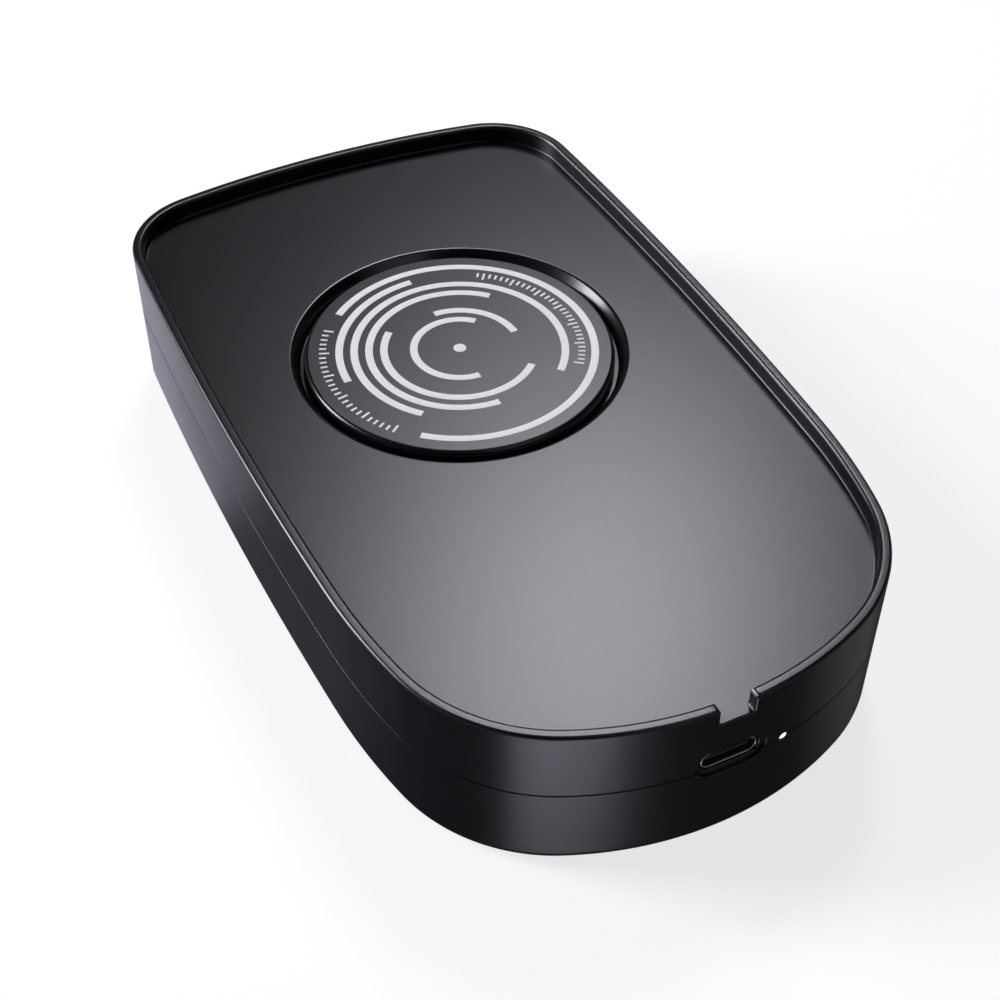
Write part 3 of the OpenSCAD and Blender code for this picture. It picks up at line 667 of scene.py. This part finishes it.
@dataclass
class Housing:
    """The two shells of the body, with everything that is cut through their walls."""

    outline: PlanOutline = field(default_factory=PlanOutline)
    deck: float = 25.0
    rim_height: float = 3.1
    rim_t: float = 1.8
    wall_t: float = 2.2
    deck_t: float = 2.0
    floor_t: float = 2.0
    base: float = 0.6
    seam: float = 15.7
    seam_gap: float = 0.24
    seam_skin: float = 1.1
    seam_edge_r: float = 0.06
    tongue_in: float = 1.2
    tongue_height: float = 1.5
    rim_outer_r: float = 0.5
    rim_inner_r: float = 0.6
    deck_corner_r: float = 0.3
    inner_corner_r: float = 0.5
    bottom_r: float = 2.0
    notch_w: float = 5.4
    notch_edge_r: float = 0.7
    notch_corner_r: float = 0.3
    notch_front_r: float = 0.35
    notch_back_r: float = 0.2
    disc_y: float = 13.5
    well_r: float = 26.4
    well_mouth_r: float = 27.9
    well_depth: float = 2.4
    well_floor_t: float = 1.5
    well_wall_t: float = 1.5
    well_slope: float = 50.0
    well_edge_r: float = 0.85
    well_cove_r: float = 0.3
    # Allowance on the heights of the faces that take the well's own finish
    well_margin: float = 0.005
    hub_hole_r: float = 6.6
    port_z: float = 17.0
    slot_w: float = 9.4
    slot_h: float = 3.4
    slot_edge_r: float = 0.3
    recess_margin: float = 1.0
    recess_depth: float = 0.45
    recess_edge_r: float = 0.15
    light_x: float = 8.8
    light_hole_r: float = 0.68
    light_edge_r: float = 0.12
    light_edge_steps: int = 4
    screw_places: tuple[Point, ...] = ((34.5, 42.05), (32.5, -36.25))
    screw_well_r: float = 2.7
    screw_well_top: float = 6.6
    screw_hole_r: float = 1.4
    boss_r: float = 3.7
    boss_top: float = 9.6
    post_r: float = 3.0
    foot_places: tuple[Point, ...] = ((29.586, 57.94), (21.938, -56.057))
    foot_pocket_r: float = 5.1
    foot_pocket: float = 0.4
    # How far a tool reaches past the face that it cuts, and how far the notch stays above the deck
    over: float = 1.0
    lift: float = 0.002
    fillet_steps: int = 6
    cove_steps: int = 10
    hole_steps: int = 40
    pin_steps: int = 48
    well_steps: int = 240

    def mirrored(self, places: Sequence[Point]) -> list[Point]:
        """Give the places on both sides of the middle."""
        return [(side * x, y) for x, y in places for side in (-1, 1)]

    def rounded(self, centre: Point, radius: float, start: float, end: float) -> list[Point]:
        """Give an edge's inset and height points along an arc."""
        return arc(centre, radius, start, end, self.fillet_steps)

    def upper_profile(self) -> list[Point]:
        """Lay the upper shell's section.

        Returns:
            Insets and heights, from the deck over the rim and down to the deck's underside.
        """
        top = self.deck + self.rim_height
        low = self.seam + self.seam_gap / 2
        under = self.deck - self.deck_t
        shoulder = self.seam + self.tongue_height
        corner, inner, outer = self.deck_corner_r, self.rim_inner_r, self.rim_outer_r
        edge, inside = self.seam_edge_r, self.inner_corner_r
        return [
            *self.rounded((self.rim_t + corner, self.deck + corner), corner, 270, 180),
            *self.rounded((self.rim_t - inner, top - inner), inner, 0, 90),
            *self.rounded((outer, top - outer), outer, 90, 180),
            *self.rounded((edge, low + edge), edge, 180, 270),
            (self.seam_skin, low),
            (self.seam_skin, shoulder),
            (self.wall_t, shoulder),
            *self.rounded((self.wall_t + inside, under - inside), inside, 180, 90),
        ]

    def lower_profile(self) -> list[Point]:
        """Lay the lower shell's section.

        Returns:
            Insets and heights, from the floor inside over the tongue and down to the underside.
        """
        high = self.seam - self.seam_gap / 2
        floor = self.base + self.floor_t
        tongue = self.seam + self.tongue_height
        edge, inside, bottom = self.seam_edge_r, self.inner_corner_r, self.bottom_r
        return [
            *self.rounded((self.wall_t + inside, floor + inside), inside, 270, 180),
            (self.wall_t, tongue),
            (self.tongue_in, tongue),
            (self.tongue_in, high),
            *self.rounded((edge, high - edge), edge, 90, 180),
            *self.rounded((bottom, self.base + bottom), bottom, 180, 270),
        ]

    def shell(self, name: str, profile: Sequence[Point]) -> bpy.types.Object:
        """Run a section round the outline as a closed shell."""
        return add_piece(name, loft([self.outline.ring(inset, z) for inset, z in profile]))

    def stadium(self, widening: float, straight_steps: int = 12, end_steps: int = 14) -> list[Point]:
        """Lay the port's slot on the wall.

        Args:
            widening: How much wider it is on all sides.
            straight_steps: How many parts a straight side is split into.
            end_steps: How many parts a round end is split into.

        Returns:
            Its across and up points.
        """
        half = (self.slot_w - self.slot_h) / 2
        radius = self.slot_h / 2 + widening
        right = arc((half, self.port_z), radius, -90, 90, end_steps)
        left = arc((-half, self.port_z), radius, 90, 270, end_steps)
        top = [(half - 2 * half * i / straight_steps, self.port_z + radius) for i in range(1, straight_steps)]
        bottom = [(-x, self.port_z - radius) for x, _ in top]
        return right + top + left + bottom

    def port_tool(self) -> bmesh.types.BMesh:
        """Make the tool that cuts the slot and the shallow recess round it, with their rounded edges.

        Returns:
            The tool's mesh.
        """
        margin, depth = self.recess_margin, self.recess_depth
        outer = [(margin + wider, deep) for wider, deep in rolled(self.recess_edge_r)]
        inner = [(wider, depth + deep) for wider, deep in rolled(self.slot_edge_r)]
        steps = [
            (outer[0][0], -self.over),
            *outer,
            (margin, depth),
            *inner,
            (0.0, self.wall_t + self.over),
        ]
        return loft([self.outline.near_ring(self.stadium(wider), deep) for wider, deep in steps])

    def light_tool(self) -> bmesh.types.BMesh:
        """Make the tool that drills the status light's hole.

        Returns:
            The tool's mesh.
        """
        edge = rolled(self.light_edge_r, self.light_edge_steps)
        steps = [(edge[0][0], -self.over), *edge, (0.0, self.wall_t + self.over)]
        rings = []
        for wider, deep in steps:
            contour = arc((self.light_x, self.seam), self.light_hole_r + wider, 0, 360, self.hole_steps)
            rings.append(self.outline.near_ring(contour[:-1], deep))
        return loft(rings)

    def notch_contour(self, widening: float) -> list[Point]:
        """Lay the cable notch on the wall.

        Args:
            widening: How far it is widened into the rim on all sides.

        Returns:
            Its across and up points.
        """
        half = self.notch_w / 2
        top = self.deck + self.rim_height
        edge, corner = self.notch_edge_r, self.notch_corner_r
        right = [
            *self.rounded((half - corner, self.deck + self.lift + corner), corner + widening, -90, 0),
            *self.rounded((half + edge, top - edge), edge - widening, 180, 90),
            (half + edge, top + self.over),
        ]
        return right + [(-x, z) for x, z in reversed(right)]

    def notch_tool(self) -> bmesh.types.BMesh:
        """Make the tool that cuts the cable notch, with rounded edges at both of its faces.

        Returns:
            The tool's mesh.
        """
        front = rolled(self.notch_front_r)
        back = [(wider, self.rim_t - deep) for wider, deep in reversed(rolled(self.notch_back_r))]
        end = self.rim_t + self.deck_corner_r + self.over
        steps = [(front[0][0], -self.over), *front, *back, (back[-1][0], end)]
        rings = []
        for wider, deep in steps:
            contour = self.notch_contour(wider)
            if deep > self.rim_t / 2:
                contour = [(x, max(z, self.deck + self.lift)) for x, z in contour]
            rings.append(self.outline.near_ring(contour, deep))
        return loft(rings)

    def well_tool(self) -> bmesh.types.BMesh:
        """Make the tool that sinks the well: a funnel with a rounded mouth over a bore with a cove.

        Returns:
            The tool's mesh.
        """
        floor = self.deck - self.well_depth
        cove, edge, radius, mouth = self.well_cove_r, self.well_edge_r, self.well_r, self.well_mouth_r
        mouth_arc = arc((mouth, self.deck - edge), edge, 90 + self.well_slope, 90, 2 * self.fillet_steps)
        funnel_r, funnel_top = mouth_arc[0]
        funnel_foot = funnel_top - (funnel_r - radius) * math.tan(math.radians(self.well_slope))
        profile = [
            *arc((radius - cove, floor + cove), cove, 270, 360, self.cove_steps),
            (radius, funnel_foot),
            *mouth_arc,
            (mouth, self.deck + self.over),
        ]
        return turned(profile, (0.0, self.disc_y), self.well_steps)

    def pins(self, places: Sequence[Point], radius: float, low: float, high: float) -> bmesh.types.BMesh:
        """Make upright pins, as tools for holes or as bosses.

        Args:
            places: Where they stand.
            radius: Their radius.
            low: The height of their lower ends.
            high: The height of their upper ends.

        Returns:
            One mesh of them all.
        """
        whole = bmesh.new()
        for place in places:
            merge(whole, turned([(radius, low), (radius, high)], place, self.pin_steps))
        return whole

    def build_upper(self) -> None:
        """Build the upper shell with the tray, the well, the notch and its share of the port."""
        piece = self.shell("tray_shell", self.upper_profile())
        middle = [(0.0, self.disc_y)]
        screws = self.mirrored(self.screw_places)
        well_under = self.deck - self.well_depth - self.well_floor_t
        deck_middle = self.deck - self.deck_t / 2
        shape(piece, self.pins(middle, self.well_mouth_r + self.well_wall_t, well_under, deck_middle), Cut.ON)
        shape(piece, self.pins(screws, self.post_r, self.boss_top, deck_middle), Cut.ON)
        shape(piece, self.well_tool(), Cut.AWAY)
        shape(piece, self.pins(middle, self.hub_hole_r, well_under - self.over, self.deck), Cut.AWAY)
        shape(piece, self.notch_tool(), Cut.AWAY)
        shape(piece, self.port_tool(), Cut.AWAY)
        shape(piece, self.light_tool(), Cut.AWAY)
        finish_piece(piece, SHELL_ABS, "housing", "upper_shell")
        self.smooth_well(piece)

    def smooth_well(self, piece: bpy.types.Object) -> None:
        """Give the faces inside the well's mouth the smooth finish.

        Args:
            piece: The upper shell.
        """
        piece.data.materials.append(WELL_ABS.material())
        low, high = self.deck - self.well_depth - self.well_margin, self.deck - self.well_margin
        for face in piece.data.polygons:
            x, y, z = face.center / MM
            if low < z < high and math.hypot(x, y - self.disc_y) < self.well_mouth_r:
                face.material_index = 1

    def build_lower(self) -> None:
        """Build the lower shell with its screw wells, foot pockets and its share of the port."""
        piece = self.shell("base_shell", self.lower_profile())
        screws = self.mirrored(self.screw_places)
        feet = self.mirrored(self.foot_places)
        floor_middle = self.base + self.floor_t / 2
        below = self.base - self.over
        shape(piece, self.pins(screws, self.boss_r, floor_middle, self.boss_top), Cut.ON)
        shape(piece, self.pins(screws, self.screw_well_r, below, self.screw_well_top), Cut.AWAY)
        shape(piece, self.pins(screws, self.screw_hole_r, below, self.boss_top + self.over), Cut.AWAY)
        shape(piece, self.pins(feet, self.foot_pocket_r, below, self.base + self.foot_pocket), Cut.AWAY)
        shape(piece, self.port_tool(), Cut.AWAY)
        shape(piece, self.light_tool(), Cut.AWAY)
        # The lower shell takes the copy of the ABS whose darker colour is painted shade.
        finish_piece(piece, BASE_ABS_PAINTED_SHADE, "housing", "lower_shell")


# ---- turntable


def band(
    mesh: bmesh.types.BMesh, at: Point, radii: Point, angles: Point, heights: Point, steps: int
) -> None:
    """Add a flat curved band to a mesh.

    Args:
        mesh: The mesh that it is added to.
        at: The centre that it curves round.
        radii: Its inner and outer radius.
        angles: Its first and last angle, in degrees.
        heights: Its lower and upper height.
        steps: How many parts it is split into.
    """
    (inner, outer), (low, high) = radii, heights
    corners = ((inner, low), (outer, low), (outer, high), (inner, high))
    rows = []
    for i in range(steps + 1):
        a = math.radians(angles[0] + (angles[1] - angles[0]) * i / steps)
        places = [Vector((at[0] + r * math.cos(a), at[1] + r * math.sin(a), z)) for r, z in corners]
        rows.append([mesh.verts.new(place * MM) for place in places])
    for first, second in zip(rows, rows[1:]):
        for i in range(len(corners)):
            j = (i + 1) % len(corners)
            mesh.faces.new((first[i], second[i], second[j], first[j]))
    mesh.faces.new(rows[0])
    mesh.faces.new(reversed(rows[-1]))


@dataclass
class Turntable:
    """The slow disc under the mouse's sensor, with its printed film."""

    at: Point
    deck: float
    disc_r: float = 25.5
    disc_t: float = 1.75
    edge_r: float = 0.75
    lower_edge_r: float = 0.5
    film_t: float = 0.1
    film_r: float = 24.85
    film_edge_r: float = 0.04
    ink_t: float = 0.05
    hub_r: float = 5.0
    hub_z: float = 21.0
    bore_r: float = 2.53
    bore_top: float = 24.1
    ring_r: float = 22.2
    ring_pitch: float = 2.44
    ring_w: float = 1.25
    dot_r: float = 1.05
    spans: tuple[tuple[int, float, float], ...] = (
        (0, -131, 131),
        (1, 90, 180),
        (2, -45, 225),
        (3, 45, 270),
        (4, 135, 315),
        (5, 0, 90),
        (6, 45, 270),
    )
    tick_runs: tuple[tuple[int, float, float], ...] = ((0, 143, 218), (1, -37, 56))
    tick_step: float = 3.0
    tick_l: float = 1.7
    tick_w: float = 0.35
    # One tick in this many is long, and the others lose this share of their length
    long_tick: int = 5
    short_tick_cut: float = 1 / 3
    disc_steps: int = 240
    edge_steps: int = 12
    lower_edge_steps: int = 5
    film_edge_steps: int = 3
    dot_steps: int = 64
    # The largest turn of a ring's step, in degrees
    ring_turn: float = 1.5

    @property
    def film_z(self) -> float:
        """Height of the film's underside."""
        return self.deck - self.ink_t - self.film_t

    @property
    def film_top(self) -> float:
        """Height of the film's upper face, which the ink lies on."""
        return self.deck - self.ink_t

    def build_disc(self) -> None:
        """Build the disc with its rounded edges, its hub and the shaft's bore."""
        low = self.film_z - self.disc_t
        edge, lower = self.edge_r, self.lower_edge_r
        profile = [
            (self.bore_r, self.bore_top),
            (self.bore_r, self.hub_z),
            (self.hub_r, self.hub_z),
            (self.hub_r, low),
            *arc((self.disc_r - lower, low + lower), lower, -90, 0, self.lower_edge_steps),
            *arc((self.disc_r - edge, self.film_z - edge), edge, 0, 90, self.edge_steps),
        ]
        piece = add_piece("turntable", turned(profile, self.at, self.disc_steps))
        finish_piece(piece, DISC_ABS, "turntable", "turntable_disc")

    def build_film(self) -> None:
        """Build the printed film that lies on the disc."""
        edge = self.film_edge_r
        profile = [
            (self.film_r, self.film_z),
            *arc((self.film_r - edge, self.film_top - edge), edge, 0, 90, self.film_edge_steps),
        ]
        piece = add_piece("target_film", turned(profile, self.at, self.disc_steps))
        finish_piece(piece, GREY_FILM, "turntable", "disc_film")

    def build_rings(self) -> None:
        """Build the broken rings and the dot that the mouse's sensor sees turn."""
        mesh = bmesh.new()
        heights = (self.film_top, self.film_top + self.ink_t)
        for number, start, end in self.spans:
            middle = self.ring_r - number * self.ring_pitch
            radii = (middle - self.ring_w / 2, middle + self.ring_w / 2)
            steps = math.ceil((end - start) / self.ring_turn)
            band(mesh, self.at, radii, (start, end), heights, steps)
        merge(mesh, turned([(self.dot_r, height) for height in heights], self.at, self.dot_steps))
        bmesh.ops.recalc_face_normals(mesh, faces=mesh.faces)
        finish_piece(add_piece("target_rings", mesh), WHITE_INK, "turntable", "ring_print")

    def build_ticks(self) -> None:
        """Build the two runs of scale ticks, with a long one at regular places."""
        mesh = bmesh.new()
        heights = (self.film_top, self.film_top + self.ink_t)
        for number, start, end in self.tick_runs:
            inner = self.ring_r - number * self.ring_pitch - self.tick_l / 2
            for i in range(int((end - start) // self.tick_step) + 1):
                cut = 0.0 if i % self.long_tick == 0 else self.tick_l * self.short_tick_cut
                radii = (inner + cut, inner + self.tick_l)
                half = math.degrees(self.tick_w / 2 / inner)
                angle = start + i * self.tick_step
                band(mesh, self.at, radii, (angle - half, angle + half), heights, 1)
        bmesh.ops.recalc_face_normals(mesh, faces=mesh.faces)
        finish_piece(add_piece("target_ticks", mesh), WHITE_INK, "turntable", "scale_ticks")


# ---- port


@dataclass
class PortSocket:
    """The drawn metal shell of the port's socket, with its rolled mouth."""

    z: float
    width: float = 8.94
    height: float = 3.16
    wall: float = 0.3
    mouth: float = -71.7
    length: float = 7.3
    lip_r: float = 0.13
    lip_steps: int = 4
    straight_steps: int = 8
    end_steps: int = 12
    # Points closer than this, in metres, are one point
    weld: float = 1e-7

    def ring(self, inset: float, y: float) -> Ring:
        """Lay the shell's section as a ring.

        Args:
            inset: How far it is moved inwards.
            y: Where it stands along Y.

        Returns:
            The ring.
        """
        half = (self.width - self.height) / 2
        radius = self.height / 2 - inset
        right = arc((half, self.z), radius, -90, 90, self.end_steps)
        step = 2 * half / self.straight_steps
        top = [(half - step * i, self.z + radius) for i in range(1, self.straight_steps)]
        contour = right + top + [(-x, 2 * self.z - z) for x, z in right + top]
        return [Vector((x, y, z)) for x, z in contour]

    def build(self) -> None:
        """Build the shell as a tube with rounded lips, open at both ends."""
        lip, wall = self.lip_r, self.wall
        back = self.mouth + self.length
        sections = [
            (0.0, back),
            *[(y, self.mouth + x) for x, y in arc((lip, lip), lip, 270, 180, self.lip_steps)],
            *[(y, self.mouth + x) for x, y in arc((lip, wall - lip), lip, 180, 90, self.lip_steps)],
            (wall, back),
        ]
        mesh = loft([self.ring(inset, y) for inset, y in [*sections, sections[0]]], False, False)
        bmesh.ops.remove_doubles(mesh, verts=mesh.verts, dist=self.weld)
        bmesh.ops.recalc_face_normals(mesh, faces=mesh.faces)
        finish_piece(add_piece("port_socket", mesh), NICKEL_STEEL, "housing", "usb_socket")


# ---- status light


@dataclass
class StatusLight:
    """The clear rod that carries the lamp's light to the end wall."""

    outline: PlanOutline
    x: float
    z: float
    radius: float = 0.65
    collar_r: float = 1.15
    collar_t: float = 0.8
    collar_back: float = 2.5
    face_back: float = 0.12
    dome: float = 0.12
    # The domed face's rings, as a share of the radius and of the dome's depth
    face_rings: tuple[Point, ...] = ((0.25, 0.0), (0.6, 0.25), (0.88, 0.62), (1.0, 1.2))
    lamp_y: float = -66.3
    steps: int = 40

    def build(self) -> None:
        """Build the rod with its domed face and the collar behind the wall."""
        face = self.outline.near_wall(self.x, 0.0) + self.face_back
        collar = face - self.face_back + self.collar_back
        sections = [
            *[(self.radius * share, face + self.dome * back) for share, back in self.face_rings],
            (self.radius, collar),
            (self.collar_r, collar),
            (self.collar_r, collar + self.collar_t),
            (self.radius, collar + self.collar_t),
            (self.radius, self.lamp_y),
        ]
        rings = []
        for radius, y in sections:
            contour = arc((self.x, self.z), radius, 0, 360, self.steps)
            rings.append([Vector((x, y, z)) for x, z in contour[:-1]])
        piece = add_piece("status_light_rod", loft(rings))
        finish_piece(piece, LIT_ROD, "housing", "light_pipe")


# ---- frame pieces


def dress_frame() -> None:
    """Give each CAD piece that stays its own finish and smooth shading."""
    for finish, names in CAD_FINISHES.items():
        for name in names:
            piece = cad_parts[name]
            piece.data.materials.clear()
            piece.data.materials.append(finish.material())
            piece.data.shade_smooth()
            piece.data.set_sharp_from_angle(angle=math.radians(SHARP_CAD))
            log.info("%s: %s", name, finish.name)


# ---- studio


@dataclass(frozen=True)
class Softbox:
    """One soft lamp, placed by where it stands as seen from the part.

    Angles are in degrees, sizes in millimetres, and the brightness is the radiance of its face.
    """

    name: str
    azimuth: float
    elevation: float
    size: Point
    brightness: float
    roll: float = 0.0
    distance: float = 1500.0
    colour: str = "#F8F4FF"

    def build(self) -> None:
        """Hang the lamp so that it faces the middle of the part."""
        width, height = self.size[0] * MM, self.size[1] * MM
        data = bpy.data.lights.new(self.name, "AREA")
        data.shape = "RECTANGLE"
        data.size, data.size_y = width, height
        data.energy = self.brightness * math.pi * width * height
        data.color = linear(self.colour)[:3]
        lamp = bpy.data.objects.new(self.name, data)
        flat, tilt = math.radians(self.azimuth), math.radians(self.elevation)
        direction = Vector((math.cos(flat) * math.cos(tilt), math.sin(flat) * math.cos(tilt), math.sin(tilt)))
        roll = Matrix.Rotation(math.radians(self.roll), 3, "Z")
        turn = direction.to_track_quat("Z", "Y").to_matrix() @ roll
        lamp.matrix_world = Matrix.Translation(direction * self.distance * MM) @ turn.to_4x4()
        lamp.visible_camera = False
        bpy.context.scene.collection.objects.link(lamp)


@dataclass(frozen=True)
class Paper:
    """Plain pale paper of the floor or the backdrop, which gives off some white light of its own."""

    name: str
    colour: str
    roughness: float
    glow: float

    def stage(self, sheet: bpy.types.Object) -> None:
        """Dress a sheet that isn't part of the object, and that nothing mirrors.

        Args:
            sheet: The floor or the backdrop.
        """
        material = bpy.data.materials.new(self.name)
        material.use_nodes = True
        shader = material.node_tree.nodes["Principled BSDF"]
        shader.inputs["Base Color"].default_value = linear(self.colour)
        shader.inputs["Roughness"].default_value = self.roughness
        shader.inputs["Emission Color"].default_value = linear("#FFFFFF")
        shader.inputs["Emission Strength"].default_value = self.glow
        sheet.data.materials.append(material)
        sheet.visible_glossy = False
        sheet.visible_shadow = False


@dataclass
class Studio:
    """The floor, the lamps and the camera."""

    camera_at: tuple[float, float, float] = (-90.87, -184.36, 201.3)
    right: tuple[float, float, float] = (0.89752, -0.44095, 0.00514)
    up: tuple[float, float, float] = (0.30367, 0.62646, 0.71786)
    back: tuple[float, float, float] = (-0.31976, -0.64274, 0.69616)
    focal: float = 61.2
    sensor: float = 36.0
    # Nearest and farthest that the camera sees, in metres
    clip: Point = (0.01, 50.0)
    floor_half: float = 3000.0
    floor_paper: Paper = Paper("paper_white_coated", "#959595", 0.9, 0.76)
    backdrop_r: float = 2900.0
    # From just below the floor to the top, in degrees
    backdrop_angles: tuple[int, int, int] = (-2, 90, 4)
    backdrop_steps: int = 72
    backdrop_paper: Paper = Paper("paper_white_backdrop", "#000000", 0.5, 0.86)
    room_colour: str = "#FBF9FF"
    # How bright the room is, by the sine of the elevation: dark above and far below, pale at the horizon
    room_levels: tuple[Point, ...] = ((-0.5, 0.018), (-0.36, 0.3), (-0.02, 0.3), (0.14, 0.1), (0.3, 0.008))
    softboxes: tuple[Softbox, ...] = (
        # Behind on the right, and mirrored in the tray
        Softbox("tray_softbox", 58.0, 52.3, (291.0, 462.0), 19.5, roll=-1.0),
        # A tall strip on the left, for the bright line on the rim and on the disc's edge
        Softbox("rim_strip", 144.0, 20.0, (475.0, 1200.0), 20.0),
        # Below the table, for the walls
        Softbox("left_wall_reflector", 96.6, -34.6, (177.0, 491.0), 2.15, colour="#ECEBFF"),
        Softbox("left_corner_reflector", 116.0, -42.0, (1090.0, 640.0), 0.085, colour="#ECEBFF"),
        Softbox("near_wall_reflector", -115.9, -44.0, (833.0, 193.0), 7.6, colour="#F0EDFF"),
        Softbox("right_wall_reflector", -6.0, -38.5, (760.0, 600.0), 0.2),
        # Dim and in front, for the socket's bright rim
        Softbox("front_panel", -65.0, 52.0, (900.0, 700.0), 0.7),
    )

    def build_camera(self) -> None:
        """Set the camera at the photograph's angle."""
        data = bpy.data.cameras.new("camera")
        data.lens = self.focal
        data.sensor_width = self.sensor
        data.clip_start, data.clip_end = self.clip
        camera = bpy.data.objects.new("camera", data)
        turn = Matrix((self.right, self.up, self.back)).transposed()
        camera.matrix_world = Matrix.Translation(Vector(self.camera_at) * MM) @ turn.to_4x4()
        bpy.context.scene.collection.objects.link(camera)
        bpy.context.scene.camera = camera

    def build_floor(self) -> None:
        """Lay a floor that the dark walls don't mirror and the low reflectors shine through."""
        half = self.floor_half
        corners = ((-half, -half), (half, -half), (half, half), (-half, half))
        mesh = bmesh.new()
        mesh.faces.new([mesh.verts.new(Vector((x, y, 0.0)) * MM) for x, y in corners])
        self.floor_paper.stage(add_piece("floor", mesh))

    def build_backdrop(self) -> None:
        """Hang a backdrop all round, for the views from low down. It lights nothing."""
        angles = [math.radians(angle) for angle in range(*self.backdrop_angles)]
        radius = self.backdrop_r
        profile = [(radius * math.cos(a), radius * math.sin(a)) for a in angles]
        backdrop = add_piece("backdrop", turned(profile, steps=self.backdrop_steps))
        backdrop.visible_diffuse = False
        backdrop.visible_transmission = False
        self.backdrop_paper.stage(backdrop)

    def build_world(self) -> None:
        """Fill the room with a low light that is palest at the horizon."""
        world = bpy.data.worlds.new("room")
        world.use_nodes = True
        tree = world.node_tree
        direction = add_node(tree, "ShaderNodeTexCoord").outputs["Generated"]
        height = add_node(tree, "ShaderNodeSeparateXYZ", {"Vector": direction}).outputs["Z"]
        # From -1 to 1, to the ramp's 0 to 1
        share = add_node(tree, "ShaderNodeMath", {0: height, 1: 0.5, 2: 0.5}, operation="MULTIPLY_ADD")
        ramp = add_node(tree, "ShaderNodeValToRGB", {"Fac": share.outputs["Value"]})
        stops = ramp.color_ramp.elements
        while len(stops) < len(self.room_levels):
            stops.new(1.0)
        for stop, (sine, level) in zip(stops, self.room_levels):
            stop.position = (sine + 1) / 2
            stop.color = (level, level, level, 1.0)
        tree.links.new(ramp.outputs["Color"], tree.nodes["Background"].inputs["Strength"])
        tree.nodes["Background"].inputs["Color"].default_value = linear(self.room_colour)
        bpy.context.scene.world = world
        bpy.context.scene.view_settings.view_transform = "Standard"

    def build(self) -> None:
        """Set up the whole studio."""
        self.build_camera()
        self.build_floor()
        self.build_backdrop()
        for softbox in self.softboxes:
            softbox.build()
        self.build_world()


def main() -> None:
    """Build the studio and every piece in order."""
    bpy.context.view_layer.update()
    Studio().build()
    housing = Housing()
    housing.build_upper()
    housing.build_lower()
    turntable = Turntable((0.0, housing.disc_y), housing.deck)
    turntable.build_disc()
    turntable.build_film()
    turntable.build_rings()
    turntable.build_ticks()
    PortSocket(housing.port_z).build()
    StatusLight(housing.outline, housing.light_x, housing.seam).build()
    dress_frame()


if __name__ == "__main__":
    main()
